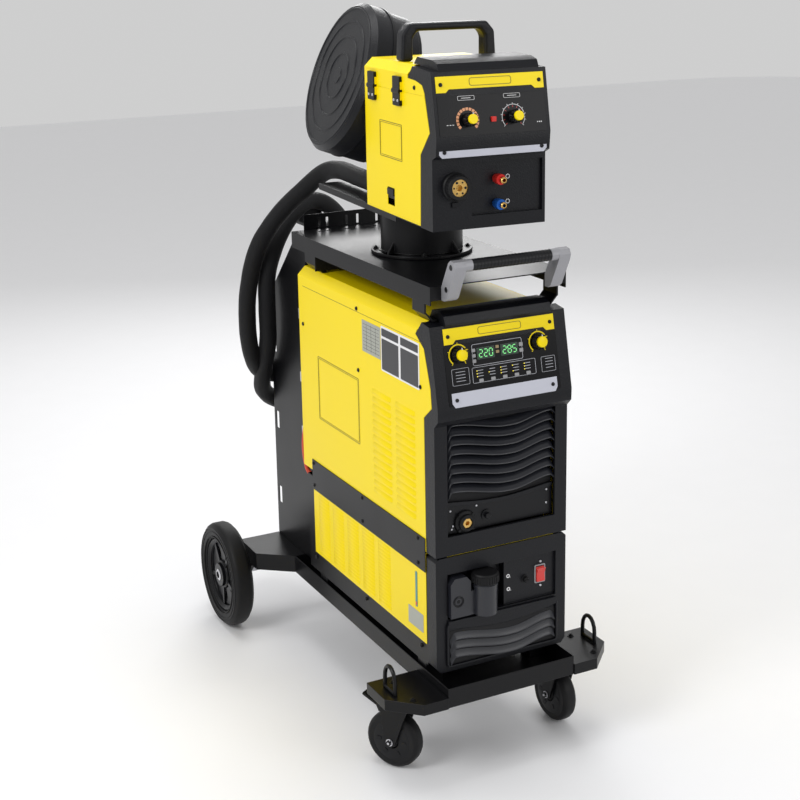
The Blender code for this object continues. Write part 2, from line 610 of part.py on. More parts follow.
def make_cooler_chassis(look):
    """The black base pan and rear panel, on four feet that stand in the cart's pan."""
    half = SOURCE_X - 0.002
    chassis = box("cooler_chassis", (-half, -0.474, COOLER_BOTTOM), (half, 0.140, 0.485), look)
    for direction in ((0, 0, 1), (1, 0, 0), (-1, 0, 0), (0, -1, 0)):
        open_side(chassis, direction)
    freeze(hollow(chassis, 0.003))
    for sign in (-1, 1):
        xs = sorted((sign * half, sign * (half - 0.003)))
        join(chassis, box("rail", (xs[0], -0.474, COOLER_BOTTOM + 0.001), (xs[1], 0.1395, COOLER_YELLOW - GAP), cutter=True))
        join(chassis, box("cheek", (xs[0], COOLER_REAR + 0.001, COOLER_BOTTOM + 0.001), (xs[1], 0.1395, 0.485), cutter=True))
        for y in (-0.430, 0.080):
            xs = sorted((sign * 0.150, sign * 0.110))
            join(chassis, box("foot", (xs[0], y - 0.020, TRAY_BOTTOM + SHEET + GAP), (xs[1], y + 0.020, COOLER_BOTTOM + 0.001),
                              cutter=True))
    cut(chassis, rod("fan_hole", (0.060, 0.1, 0.360), (0.060, 0.2, 0.360), 0.060, cutter=True, sides=32))


def make_cooler_bezel(look):
    """The moulded front of the cooler, with an open bay for the filler and a grille of slats below."""
    half = SOURCE_X - 0.0005
    front, back = -0.5150, -0.4745
    outline = [(-half, 0.252), (-half + 0.010, 0.2402), (half - 0.010, 0.2402), (half, 0.252), (half, COOLER_TOP - 0.008),
               (half - 0.008, COOLER_TOP), (-half + 0.008, COOLER_TOP), (-half, COOLER_TOP - 0.008)]
    bezel = prism("cooler_bezel", outline, "Y", front, back, look)
    cut(bezel, box("bay", (-0.1320, -0.60, 0.3590), (0.0080, -0.488, 0.4600), cutter=True),
        box("panel", (0.0079, -0.60, 0.3590), (0.1340, -0.508, 0.4600), cutter=True),
        box("throat_hole", (-0.1250, -0.60, 0.3690), (-0.0290, -0.400, 0.4110), cutter=True),
        box("rocker_pocket", (0.0868, -0.60, 0.3940), (0.1092, -0.5030, 0.4310), cutter=True),
        box("hollow", (-0.150, -0.4860, 0.2500), (0.150, -0.40, 0.4900), cutter=True))
    for step in range(4):
        z = 0.2560 + step * 0.0190
        cut(bezel, box("slot", (-0.1300, -0.60, z), (0.1320, -0.4859, z + 0.0125), cutter=True))


def make_coolant_tank(look):
    """The tank behind the cooler's front, with the filler neck and gauge body that stand out into the bay."""
    tank = box("coolant_tank", (-0.130, -0.455, 0.2470), (-0.010, -0.200, 0.4400), look)
    cut(tank, box("cavity", (-0.127, -0.452, 0.2500), (-0.013, -0.203, 0.4370), cutter=True),
        rod("vent", (-0.070, -0.30, 0.430), (-0.070, -0.30, 0.460), 0.012, cutter=True))
    x, y = FILLER
    boss = [(-0.1300, 0.3640), (-0.0820, 0.3640), (-0.0820, 0.4400), (-0.0920, 0.4520), (-0.1200, 0.4520), (-0.1300, 0.4400)]
    join(tank, box("throat", (-0.1240, -0.5000, 0.3700), (-0.0300, -0.4540, 0.4100), cutter=True),
         rod("neck", (x, y, 0.3640), (x, y, 0.4330), 0.0260, cutter=True, sides=28),
         box("collar", (x - 0.0345, y, 0.3645), (x + 0.0250, -0.4886, 0.4180), cutter=True),
         prism("boss", boss, "Y", -0.5260, -0.4886, cutter=True))
    cut(tank, rod("throat", (x, y, 0.3950), (x, y, 0.4500), 0.0190, cutter=True, sides=24))


def make_filler_cap(look):
    profile = [(0.0, 0.024), (0.0275, 0.024), (0.0305, 0.020), (0.0305, GAP), (0.0180, GAP), (0.0180, -0.012), (0.0, -0.012)]
    turned("filler_cap", profile, (*FILLER, 0.4330), (0, 0, 1), look, steps=28)


def make_rocker(look):
    """The power switch, rocking about a level pin in its panel."""
    outline = [(-0.5145, 0.4240), (-0.5185, 0.4290), (-0.5125, 0.4125), (-0.5145, 0.3960), (-0.5085, 0.3960), (-0.5085, 0.4290)]
    rocker = prism("rocker_switch", outline, "X", 0.0880, 0.1080, look)
    pivot_at(rocker, (0.0980, -0.5085, 0.4125))


def make_pump(look):
    """The coolant pump: motor and head, on the cooler's floor."""
    pump = rod("cooler_pump", (0.070, -0.350, 0.300), (0.070, -0.180, 0.300), 0.040, look, sides=24)
    join(pump, box("foot", (0.045, -0.320, 0.2464), (0.095, -0.210, 0.275), cutter=True),
         rod("head", (0.070, -0.395, 0.300), (0.070, -0.345, 0.300), 0.028, cutter=True))


def make_strap_plate(side, sign, look):
    """The plate that ties the power source to the cooler."""
    xs = sorted((sign * (SOURCE_X + GAP), sign * (SOURCE_X + STRAP_T)))
    box(f"strap_plate_{side}", (xs[0], -0.473, STRAP_BOTTOM), (xs[1], COOLER_REAR, STRAP_TOP), look)


# --- the feeder, in its own frame about the swivel axis -------------------------------------------
def make_feeder_plate(frame, steel):
    """The turning plate under the feeder, with the pin that runs in the pedestal."""
    plate = box("feeder_plate", (-0.118, -0.2820, FEEDER_BOTTOM - 0.0050), (0.118, 0.3360, FEEDER_BOTTOM - 0.0006), steel, frame)
    low = SHELF_TOP + 0.004
    join(plate, rod("pin", (0, 0, low), (0, 0, FEEDER_BOTTOM - 0.004), 0.0600, None, frame, True, sides=32))
    cut(plate, rod("pin_bore", (0, 0, low - 0.01), (0, 0, FEEDER_BOTTOM - 0.006), 0.0540, None, frame, True, sides=32))
    for sign in (-1, 1):
        xs = sorted((sign * 0.118, sign * 0.1155))
        join(plate, box("lip", (xs[0], -0.140, FEEDER_BOTTOM - 0.0155), (xs[1], 0.3360, FEEDER_BOTTOM - 0.003), None, frame, True))


def make_feeder_case(frame, look):
    """The yellow cover: roof, right wall and the strips above and below the door."""
    outline = cover_outline(FEEDER_X, FEEDER_BOTTOM, FEEDER_TOP, FEEDER_CHAMFER)
    case = prism("feeder_case", outline, "Y", -0.40, FEEDER_REAR, look, frame)
    open_side(case, (0, -1, 0))
    freeze(hollow(case, 0.0015))
    cut(case, front_zone("front", FEEDER_EDGE, -0.8, frame),
        box("door_hole", (-0.2, -0.45, FEEDER_BOTTOM + 0.0015), (-0.1165, FEEDER_REAR - 0.0015, DOOR_TOP), None, frame, True),
        rod("gland_hole", (GLAND_X, -0.05, GLAND_Z), (GLAND_X, 0.05, GLAND_Z), HOSE_D / 2 + 0.0005, None, frame, True, sides=24))
    for y in HINGES:
        join(case, box("leaf", (-FEEDER_X - 0.0045, y - 0.020, DOOR_TOP + 0.0035), (-FEEDER_X + 0.0010, y + 0.020, DOOR_TOP + 0.0185),
                       None, frame, True))
    join(case, box("partition", (0.0180, -0.2200, FEEDER_BOTTOM + 0.001), (0.0200, FEEDER_REAR - 0.001, FEEDER_TOP - 0.001),
                   None, frame, True))


def make_feeder_door(frame, look):
    """The side door, with the lower leaves of the two hinges along its upper edge."""
    x = -FEEDER_X
    edge = [(y + 2 * GAP, z) for y, z in FEEDER_EDGE[1:3]]
    rear = FEEDER_REAR - 0.0018
    outline = [(rear, FEEDER_BOTTOM + 0.0018), (rear, DOOR_TOP - GAP),
               (-0.3094, DOOR_TOP - GAP), edge[1], edge[0], (FEEDER_EDGE[0][0] + 2 * GAP, FEEDER_BOTTOM + 0.0018)]
    door = prism("feeder_door", outline, "X", x, x + 0.0015, look, frame)
    for y in HINGES:
        join(door, box("leaf", (x - 0.0045, y - 0.020, DOOR_TOP - 0.018), (x + 0.0010, y + 0.020, DOOR_TOP - 0.0015),
                       None, frame, True))
    cut(door, box("latch_slot", (-0.2, -0.1500, 1.2050), (-0.05, -0.1120, 1.2420), None, frame, True))
    pivot_at(door, (x - 0.0025, 0.0, DOOR_TOP))


def make_door_latch(frame, look):
    """The slide that shuts the door: a plate behind it, with a thumb piece out through the slot."""
    latch = box("door_latch", (-0.1222, -0.1560, 1.2180), (-0.1190, -0.1060, 1.2470), look, frame)
    join(latch, box("thumb", (-0.1265, -0.1480, 1.2260), (-0.1200, -0.1140, 1.2400), None, frame, True))
    pivot_at(latch, (-0.1222, -0.1310, 1.2330))


def make_feeder_bezel(frame, look):
    """The moulded front, with its visor, control panel and two recesses."""
    rear = [(y - GAP, z) for y, z in FEEDER_EDGE]
    bezel = prism("feeder_bezel", [*rear, *FEEDER_FRONT], "X", -FEEDER_X + 0.0005, FEEDER_X - 0.0005, look, frame)
    visor = [(-0.338, 1.488), (-0.341, 1.496), (-0.334, 1.508), (-0.310, 1.514), (-0.240, 1.516), (-0.222, 1.5015),
             (-0.255, 1.5015), (-0.255, 1.488)]
    join(bezel, prism("visor", visor, "X", -0.108, 0.108, None, frame, True))
    cut(bezel, box("hollow", (-0.116, -0.330, 1.195), (0.116, -0.20, 1.320), None, frame, True),
        box("hollow_high", (-0.116, -0.328, 1.320), (0.116, -0.20, 1.465), None, frame, True),
        box("recess", (-0.0390, -0.40, 1.2090), (0.1170, -0.3355, 1.3140), None, frame, True),
        rod("torch_hole", (-0.0753, -0.40, 1.2700), (-0.0753, -0.30, 1.2700), 0.0225, None, frame, True, sides=28),
        *[rod("coupler_hole", (0.0180, -0.40, z), (0.0180, -0.30, z), 0.0058, None, frame, True, sides=12)
          for z in (1.2790, 1.2290)],
        box("button_hole", (-0.0055, -0.40, 1.3940), (0.0055, -0.320, 1.4050), None, frame, True))


def make_feeder_handle(frame, look):
    """The carrying handle: a flat-topped hoop across the roof."""
    low, high, half, thick = FEEDER_TOP + GAP, 1.5760, 0.106, 0.016
    outer = [(-half, low), (-half + 0.003, high - 0.020), (-half + 0.020, high), (half - 0.020, high), (half - 0.003, high - 0.020), (half, low)]
    inner = [(half - thick - 0.010, low), (half - thick - 0.010, high - 0.030), (half - thick - 0.020, high - 0.016),
             (-half + thick + 0.020, high - 0.016), (-half + thick + 0.010, high - 0.030), (-half + thick + 0.010, low)]
    prism("feeder_handle", outer + inner, "Y", -0.158, -0.122, look, frame)


def make_feeder_controls(frame, plastic, red):
    """The two knobs and the push button of the feeder's panel."""
    front = FEEDER_FRONT[1:3]
    normal = panel_normal(front)
    (y1, z1), (y0, z0) = front
    for side, x, z in (("left", -0.0546, 1.4000), ("right", 0.0440, 1.4010)):
        y = y0 + (z - z0) * (y1 - y0) / (z1 - z0)
        panel_knob(f"feeder_knob_{side}", (x, y, z), normal, 0.0115, 0.028, plastic, frame)
    button = box("inch_button", (-0.0050, -0.3640, 1.3945), (0.0050, -0.3285, 1.4045), red, frame)
    pivot_at(button, (0, -0.3460, 1.3995))


def make_torch_socket(frame, look):
    """The central torch connector, open to the front."""
    profile = [(0.0, 0.010), (0.0050, 0.010), (0.0050, 0.026), (0.0170, 0.026), (0.0175, 0.006), (0.0265, 0.006), (0.0265, GAP),
               (0.0220, GAP), (0.0220, -0.012), (0.0, -0.012)]
    freeze(turned("torch_socket", profile, (-0.0753, -0.3425, 1.2700), (0, -1, 0), look, frame, steps=28))


def make_coupler(name, z, frame, look):
    """A quick coupler for coolant, its mouth open to the front."""
    profile = [(0.0, 0.012), (0.0035, 0.012), (0.0035, 0.034), (0.0065, 0.034), (0.0065, 0.024), (0.0095, 0.022), (0.0095, GAP),
               (0.0055, GAP), (0.0055, -0.008), (0.0, -0.008)]
    freeze(turned(name, profile, (0.0180, -0.3355, z), (0, -1, 0), look, frame, steps=20))


def make_drive_rollers(frame, look):
    """The grooved rollers that push the wire, standing out of the partition."""
    for name, z in (("drive_roller", 1.3100), ("pressure_roller", 1.3412)):
        profile = [(0.0, 0.012), (0.0150, 0.012), (0.0150, 0.0065), (0.0135, 0.005), (0.0150, 0.0035), (0.0150, 0.0), (0.0, 0.0)]
        turned(name, profile, (0.0178, -0.170, z), (-1, 0, 0), look, frame, steps=24)


# --- the wire spool, in a frame tilted with its drum ---------------------------------------------
def spool_frame(frame):
    """An empty at the middle of the lid, its X axis running into the drum."""
    spool = bpy.data.objects.new("spool_axis", None)
    PARTS.objects.link(spool)
    spool.parent = frame
    spool.location = SPOOL_CENTRE
    spool.rotation_euler = (0, SPOOL_TILT, 0)
    return spool


def make_spool_housing(spool, look):
    """The fixed half of the drum, with the spool's pin and the foot on the feeder plate."""
    wall, back, front = 0.003, DRUM_DEPTH, LID_DEPTH + GAP
    outer = SPOOL_R - 0.002
    pin = 0.0253
    profile = [(0.0, -front - 0.004), (pin, -front - 0.004), (pin, -back + wall), (outer - wall, -back + wall), (outer - wall, -front),
               (outer, -front), (outer, -back + 0.012), (outer - 0.012, -back), (0.0, -back)]
    drum = freeze(turned("spool_housing", profile, (0, 0, 0), (-1, 0, 0), look, spool, steps=48))
    join(drum, make_spool_bracket(spool))


def make_spool_bracket(spool):
    """The upright block behind the drum that stands on the feeder plate, leaving room for the hoses beside it."""
    low = FEEDER_BOTTOM - GAP
    outline = [(-0.0300, low), (0.0450, low), (0.0450, 1.2050), (0.0250, 1.3600), (-0.0054, 1.4065), (-0.0394, 1.3125)]
    block = prism("bracket", outline, "Y", SPOOL_CENTRE[1] - 0.060, SPOOL_CENTRE[1] + 0.060, cutter=True)
    place = Matrix.Translation(SPOOL_CENTRE) @ Matrix.Rotation(SPOOL_TILT, 4, "Y")
    block.data.transform(place.inverted())
    return block


def make_spool_lid(spool, look):
    """The dished outer half of the drum, hinged at its lowest point."""
    wall, r = 0.003, SPOOL_R
    profile = [(0.0, -wall), (r - 0.010 - wall, -wall), (r - wall, -0.012), (r - wall, -LID_DEPTH), (r, -LID_DEPTH), (r, -0.012),
               (r - 0.010, 0.0), (0.0, 0.0)]
    lid = freeze(turned("spool_lid", list(reversed(profile)), (0, 0, 0), (-1, 0, 0), look, spool, steps=48))
    pivot_at(lid, (LID_DEPTH, 0, -SPOOL_R))


def make_wire_spool(spool, look):
    """The spool of welding wire, which turns on the housing's pin."""
    bore, boss, drum, wound, rim = 0.0257, 0.036, 0.092, 0.128, 0.150
    near, far = -0.016, -0.114
    profile = [(bore, near), (boss, near), (boss, far + 0.005), (drum, far + 0.005), (drum, near), (rim, near), (rim, near - 0.004),
               (wound, near - 0.006), (wound, far + 0.006), (rim, far + 0.004), (rim, far), (bore, far), (bore, near)]
    turned("wire_spool", profile, (0, 0, 0), (-1, 0, 0), look, spool, steps=48)


# --- hoses --------------------------------------------------------------------------------------
def pack_route():
    """The sleeved hose pack: from the feeder's rear, twice round the cradle's hook, into the power source."""
    turn = Matrix.Translation(FEEDER_PIVOT) @ Matrix.Rotation(FEEDER_TURN, 4, "Z")
    start = [turn @ Vector((GLAND_X, y, GLAND_Z)) for y in (0.0, 0.110, 0.220, 0.330)]
    fall = [(-0.048, 0.232, 1.200), (-0.080, 0.290, 1.152), (-0.128, 0.334, 1.090), (-0.175, 0.360, 1.010),
            (-0.200, 0.372, 0.915), (-0.206, 0.380, 0.815), (-0.190, 0.398, 0.722)]
    back = [(-0.145, 0.446, 0.664), (-0.060, 0.470, 0.640), (0.040, 0.474, 0.660), (0.110, 0.474, 0.735), (0.138, 0.474, 0.850),
            (0.128, 0.472, 0.970), (0.080, 0.466, 1.060), (0.010, 0.450, 1.095)]
    inner = [(-0.060, 0.415, 1.070), (-0.115, 0.388, 1.012), (-0.150, 0.372, 0.935), (-0.157, 0.366, 0.850), (-0.156, 0.372, 0.760),
             (-0.154, 0.420, 0.665)]
    tail = [(-0.137, 0.457, 0.605), (-0.080, 0.474, 0.565), (0.000, 0.430, 0.560), (0.045, 0.340, 0.620), (0.055, 0.260, 0.680),
            (0.055, 0.205, 0.700), (0.055, 0.149, 0.700)]
    return [*start, *fall, *back, *inner, *tail]


def make_hose_pack(look):
    tube("hose_pack", smooth_route(pack_route(), per_span=2), HOSE_D / 2, look, fine=3)


def make_coolant_hose(look):
    """The red return hose, bowed out between the cooler's rear and the power source."""
    points = [(-0.138, 0.1412, 0.468), (-0.138, 0.1540, 0.468), (-0.146, 0.1700, 0.484), (-0.152, 0.1720, 0.540),
              (-0.146, 0.1700, 0.600), (-0.138, 0.1620, 0.618), (-0.138, 0.1520, 0.618)]
    tube("coolant_hose", smooth_route(points, per_span=3), 0.0055, look, fine=2)


# --- the whole ----------------------------------------------------------------------------------
def make_cart(steel, rubber, metal, plain):
    make_base_tray(steel)
    make_rear_deck(steel)
    make_rear_axle(plain)
    make_gas_cradle(steel)
    make_shelf(steel)
    make_pedestal(steel)
    make_push_handle(metal, rubber)
    for side, sign in (("left", -1), ("right", 1)):
        make_deck_wing(side, sign, steel)
        make_lifting_eye(side, sign, steel)
        make_rear_wheel(side, sign, rubber, steel)
        make_caster(side, steel, rubber)
        make_strap_plate(side, sign, steel)


def make_power_source(yellow, steel, plastic, metal, brass):
    make_source_cover(yellow)
    make_source_chassis(steel)
    make_source_bezel(plastic)
    make_source_grille(plastic)
    make_output_socket(brass)
    make_source_knobs(plastic)
    make_source_inverter(metal)
    make_fan("source_fan", (0.0, 0.130, 0.880), 0.052, plastic)


def make_cooler(yellow, steel, plastic, red):
    make_cooler_cover(yellow)
    make_cooler_chassis(steel)
    make_cooler_bezel(plastic)
    make_coolant_tank(plastic)
    make_filler_cap(plastic)
    make_rocker(red)
    make_pump(steel)


def make_feeder(yellow, steel, plastic, brass, red, blue, plain):
    frame = bpy.data.objects.new("feeder_swivel", None)
    PARTS.objects.link(frame)
    frame.location = FEEDER_PIVOT
    frame.rotation_euler = (0, 0, FEEDER_TURN)
    make_feeder_plate(frame, steel)
    make_feeder_case(frame, yellow)
    make_feeder_door(frame, yellow)
    make_door_latch(frame, plastic)
    make_feeder_bezel(frame, plastic)
    make_feeder_handle(frame, plastic)
    make_feeder_controls(frame, plastic, red)
    make_torch_socket(frame, brass)
    make_coupler("coupler_red", 1.2790, frame, red)
    make_coupler("coupler_blue", 1.2290, frame, blue)
    make_drive_rollers(frame, plain)
    spool = spool_frame(frame)
    make_spool_housing(spool, plastic)
    make_spool_lid(spool, plastic)
    make_wire_spool(spool, plastic)


for leftover in list(bpy.data.objects):
    bpy.data.objects.remove(leftover)
PARTS = bpy.data.collections.new(OBJECT_NAME)
CUTTERS = bpy.data.collections.new(OBJECT_NAME + "_cutters")
CUTTERS.hide_render = True
for group in (PARTS, CUTTERS):
    bpy.context.scene.collection.children.link(group)

LOOKS = {
    "yellow": material("yellow_paint", YELLOW, 0.35),
    "steel": material("black_powder_coat", BLACK, 0.35, 0.2),
    "plastic": material("charcoal_plastic", PLASTIC, 0.55),
    "rubber": material("black_rubber", RUBBER, 0.75),
    "metal": material("cast_aluminium", GREY, 0.45, 0.8),
    "brass": material("brass", BRASS, 0.3, 1.0),
    "plain": material("zinc_plated_steel", STEEL, 0.35, 1.0),
    "red": material("red_plastic", RED, 0.4),
    "blue": material("blue_plastic", BLUE, 0.4),
}
make_cart(LOOKS["steel"], LOOKS["rubber"], LOOKS["metal"], LOOKS["plain"])
make_power_source(LOOKS["yellow"], LOOKS["steel"], LOOKS["plastic"], LOOKS["metal"], LOOKS["brass"])
make_cooler(LOOKS["yellow"], LOOKS["steel"], LOOKS["plastic"], LOOKS["red"])
make_feeder(LOOKS["yellow"], LOOKS["steel"], LOOKS["plastic"], LOOKS["brass"], LOOKS["red"], LOOKS["blue"],
            LOOKS["plain"])
make_hose_pack(LOOKS["rubber"])
make_coolant_hose(LOOKS["red"])
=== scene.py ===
"""The look of the MIG welder on its cart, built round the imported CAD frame."""

import json
from math import cos, exp, pi, radians, sin

import bmesh
import bpy
from mathutils import Matrix, Vector, noise


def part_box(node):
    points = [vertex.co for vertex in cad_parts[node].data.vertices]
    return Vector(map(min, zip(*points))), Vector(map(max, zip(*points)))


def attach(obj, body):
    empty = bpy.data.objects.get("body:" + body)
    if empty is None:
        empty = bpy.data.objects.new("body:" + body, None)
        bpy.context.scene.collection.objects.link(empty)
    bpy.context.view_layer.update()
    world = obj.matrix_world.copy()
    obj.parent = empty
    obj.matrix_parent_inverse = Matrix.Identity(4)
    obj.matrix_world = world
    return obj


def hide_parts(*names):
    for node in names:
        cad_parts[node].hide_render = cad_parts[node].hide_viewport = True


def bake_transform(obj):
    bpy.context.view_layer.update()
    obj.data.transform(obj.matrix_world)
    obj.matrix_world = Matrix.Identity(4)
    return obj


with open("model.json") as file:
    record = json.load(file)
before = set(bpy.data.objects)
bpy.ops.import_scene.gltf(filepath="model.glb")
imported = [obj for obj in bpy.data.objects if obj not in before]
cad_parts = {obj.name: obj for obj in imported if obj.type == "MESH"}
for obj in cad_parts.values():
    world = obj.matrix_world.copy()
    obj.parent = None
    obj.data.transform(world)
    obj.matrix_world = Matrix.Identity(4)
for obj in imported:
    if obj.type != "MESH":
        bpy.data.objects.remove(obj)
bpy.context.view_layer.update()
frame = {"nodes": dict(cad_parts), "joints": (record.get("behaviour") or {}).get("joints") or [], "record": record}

# --- places and measures in metres, taken from the CAD part's own dimensions ---
PIVOT = (0.0, -0.1714, 0.0)
FEEDER = Matrix.Translation(PIVOT) @ Matrix.Rotation(-0.0797, 4, "Z")
DRUM = FEEDER @ Matrix.Translation((-0.1225, 0.178, 1.449)) @ Matrix.Rotation(radians(20), 4, "Y")
SOURCE_PANEL = ((-0.5320, 0.8250), (-0.4990, 0.9900))
FEEDER_PANEL = ((-0.3640, 1.3700), (-0.3400, 1.4930))
HOSE_R = 0.023
HOSE_RED_R = 0.0055
SIDE_X = 0.16             # the sides of the power source and the cooler
FEEDER_SIDE_X = 0.124
SOCKET_Y = -0.5035        # the plate that holds the power source's sockets
COOLER_Y = -0.508         # the cooler's front
COOLER_RIM_Y = -0.515
SIDES = (("left", -1), ("right", 1))

# --- measures of the shown details, in metres ---
EYE = (-1.52788, -3.0571, 1.74287)
FLOOR_TOP = -0.0005
SUNK = -0.0002            # a plate starts this far under the face that it lies on
ON_AXIS = 1e-06           # a smaller radius than this is a point on the lathe's axis
FILM = 0.0006             # the print and the keys start inside a panel's film
PRINT = (FILM, 0.0011)
FINE = (FILM, 0.001)
SCREW_R = 0.0035          # the radius that the heights in SCREW are for
BLOTCH = 9.0              # the scale of a surface's slow changes


# --- materials ---
def put(node, values):
    """Sets a shader node's inputs by their names."""
    for name, value in values.items():
        node.inputs[name].default_value = value


def ramp(tree, factor, low, high):
    """A factor of 0 to 1, brought to run from low to high."""
    node = tree.nodes.new("ShaderNodeMapRange")
    put(node, {"To Min": low, "To Max": high})
    tree.links.new(factor, node.inputs["Value"])
    return node.outputs["Result"]


def look(name, colour, rough=0.4, metal=0.0, grain=900, bump=0.05, depth=0.0004, vary=0.05, rough_vary=0.08,
        coat=0.0, specular=0.5, sheen=0.0, stretch=(1, 1, 1), glow=None):
    """A surface with fine grain in its bump, and slow changes in its colour and roughness."""
    made = bpy.data.materials.new(name)
    made.use_nodes = True
    tree = made.node_tree
    shader = tree.nodes["Principled BSDF"]
    link = tree.links.new
    put(shader, {"Metallic": metal, "Coat Weight": coat, "Coat Roughness": 0.15,
        "Specular IOR Level": specular, "Sheen Weight": sheen})
    where = tree.nodes.new("ShaderNodeTexCoord")
    scale = tree.nodes.new("ShaderNodeMapping")
    put(scale, {"Scale": stretch})
    link(where.outputs["Object"], scale.inputs["Vector"])
    fine = tree.nodes.new("ShaderNodeTexNoise")
    put(fine, {"Scale": grain, "Detail": 4.0})
    slow = tree.nodes.new("ShaderNodeTexNoise")
    put(slow, {"Scale": BLOTCH, "Detail": 3.0})
    for node in (fine, slow):
        link(scale.outputs["Vector"], node.inputs["Vector"])
    mix = tree.nodes.new("ShaderNodeMix")
    mix.data_type = "RGBA"
    put(mix, {"A": (*[max(0.0, c * (1 - vary)) for c in colour], 1), "B": (*[min(1.0, c * (1 + vary))
        for c in colour], 1)})
    link(slow.outputs["Fac"], mix.inputs["Factor"])
    link(mix.outputs["Result"], shader.inputs["Base Color"])
    link(ramp(tree, slow.outputs["Fac"], max(0.02, rough - rough_vary), min(1.0, rough + rough_vary)),
        shader.inputs["Roughness"])
    relief = tree.nodes.new("ShaderNodeBump")
    put(relief, {"Strength": bump, "Distance": depth})
    link(fine.outputs["Fac"], relief.inputs["Height"])
    link(relief.outputs["Normal"], shader.inputs["Normal"])
    if glow:
        put(shader, {"Emission Color": (*glow[0], 1), "Emission Strength": glow[1]})
    return made


M = {
    "yellow": look("yellow_paint", (0.9, 0.69, 0), 0.36, grain=420, vary=0.012, rough_vary=0.04,
        specular=0.25),
    "yellow_film": look("yellow_film", (0.92, 0.71, 0), 0.34, grain=600, bump=0.03, vary=0.01, specular=0.25),
    "black": look("black_powder_coat", (0.004, 0.004, 0.0048), 0.33, grain=700, bump=0.22, vary=0.15,
        rough_vary=0.05, specular=0.22),
    "plastic": look("charcoal_plastic", (0.004, 0.0042, 0.0055), 0.34, grain=520, bump=0.18, vary=0.12,
        rough_vary=0.06, specular=0.25),
    "textured": look("textured_plastic", (0.005, 0.0054, 0.0075), 0.36, grain=330, bump=0.75, depth=0.0008,
        vary=0.12, specular=0.25),
    "gloss": look("panel_film", (0.003, 0.003, 0.004), 0.28, vary=0.1, rough_vary=0.03, specular=0.18),
    "silver": look("silver_film", (0.52, 0.53, 0.6), 0.38, 0.25, grain=500, vary=0.04, stretch=(1, 30, 1)),
    "rubber": look("black_rubber", (0.0045, 0.0045, 0.0052), 0.5, grain=380, bump=0.35, vary=0.2,
        specular=0.25),
    "tyre": look("tyre_rubber", (0.0045, 0.0045, 0.005), 0.52, grain=300, bump=0.45, vary=0.25,
        specular=0.25),
    "cast": look("cast_aluminium", (0.33, 0.33, 0.35), 0.52, 0.55, grain=260, bump=0.65, depth=0.0008,
        vary=0.14),
    "zinc": look("zinc_plate", (0.62, 0.62, 0.65), 0.3, 0.95, grain=240, bump=0.15, vary=0.15,
        rough_vary=0.12),
    "dark_screw": look("black_screw", (0.012, 0.012, 0.013), 0.35, 0.6, grain=500, bump=0.2, vary=0.08),
    "brass": look("machined_brass", (0.66, 0.42, 0.13), 0.27, 1.0, grain=420, bump=0.1, vary=0.12,
        rough_vary=0.1),
    "wire": look("copper_wire", (0.66, 0.3, 0.15), 0.3, 0.95, grain=500, bump=0.25, vary=0.2),
    "red": look("red_plastic", (0.62, 0.022, 0.015), 0.3, grain=500, coat=0.3),
    "red_metal": look("red_anodised", (0.55, 0.02, 0.015), 0.33, 0.55, grain=400, bump=0.1, vary=0.06),
    "blue_metal": look("blue_anodised", (0.01, 0.1, 0.42), 0.33, 0.55, grain=400, bump=0.1, vary=0.06),
    "red_hose": look("red_rubber_hose", (0.62, 0.055, 0.015), 0.42, grain=420, bump=0.2, vary=0.12),
    "sleeve": look("textile_sleeve", (0.0035, 0.0035, 0.0044), 0.6, bump=0.8, depth=0.0012, vary=0.3,
        sheen=0.04, specular=0.22),
    "ink": look("printed_ink", (0.5, 0.51, 0.55), 0.5, bump=0.03),
    "white": look("white_print", (0.75, 0.75, 0.76), 0.45, bump=0.03, vary=0.03),
    "peach": look("peach_print", (0.78, 0.36, 0.18), 0.45, bump=0.03, vary=0.04),
    # painted shade: a dark yellow that stands for the shade in pressed lines and under louvre hoods
    "line": look("pressed_line_painted_shade", (0.1, 0.07, 0.002), 0.4, grain=500),
    "label": look("foil_label", (0.4, 0.41, 0.36), 0.42, 0.35, grain=500, bump=0.06),
    "dim": look("dark_print", (0.045, 0.045, 0.05), 0.5, grain=700),
    "glass": look("display_glass", (0.01, 0.03, 0.018), 0.12, bump=0.01, vary=0.1, rough_vary=0.02, coat=0.5),
    "lit": look("lit_segment", (0.2, 0.85, 0.25), 0.4, bump=0.01, vary=0.03, glow=((0.3, 0.85, 0.32), 0.35)),
    "led": look("lit_diode", (0.9, 0.72, 0.05), 0.3, bump=0.01, vary=0.03, glow=((0.95, 0.75, 0.05), 0.6)),
    "key": look("rubber_key", (0.3, 0.3, 0.31), 0.5, grain=600, bump=0.1, vary=0.06),
    "tan_key": look("tan_key", (0.3, 0.22, 0.11), 0.5, grain=600, bump=0.1, vary=0.06),
    "teal": look("level_window", (0.02, 0.2, 0.18), 0.2, grain=500, bump=0.02, vary=0.1, coat=0.4),
    "grey": look("grey_plastic", (0.014, 0.015, 0.02), 0.34, grain=420, bump=0.12, vary=0.06),
    # painted shade: a near-black that stands for the shade inside holes, slots and grille windows
    "painted_shade": look("painted_shade_inside", (0.004, 0.004, 0.005), 0.8, grain=200, bump=0.1, vary=0.2),
}


# --- mesh helpers ---
def flat(u, origin, up=None):
    """A frame whose X runs along u, whose Y runs along up and whose Z comes out of the surface."""
    x, y = Vector(u).normalized(), Vector(up or (0, 0, 1)).normalized()
    made = Matrix((x, y, x.cross(y))).transposed().to_4x4()
    made.translation = Vector(origin)
    return made


def facing(x, y, z):
    """A frame on a front face, with X to the viewer's right and Z towards the viewer."""
    return flat((1, 0, 0), (x, y, z))


def panel(front, z):
    """The frame on a sloping control panel, at a height."""
    (y0, z0), (y1, z1) = front
    return flat((1, 0, 0), (0, y0 + (z - z0) * (y1 - y0) / (z1 - z0), z), (0, y1 - y0, z1 - z0))


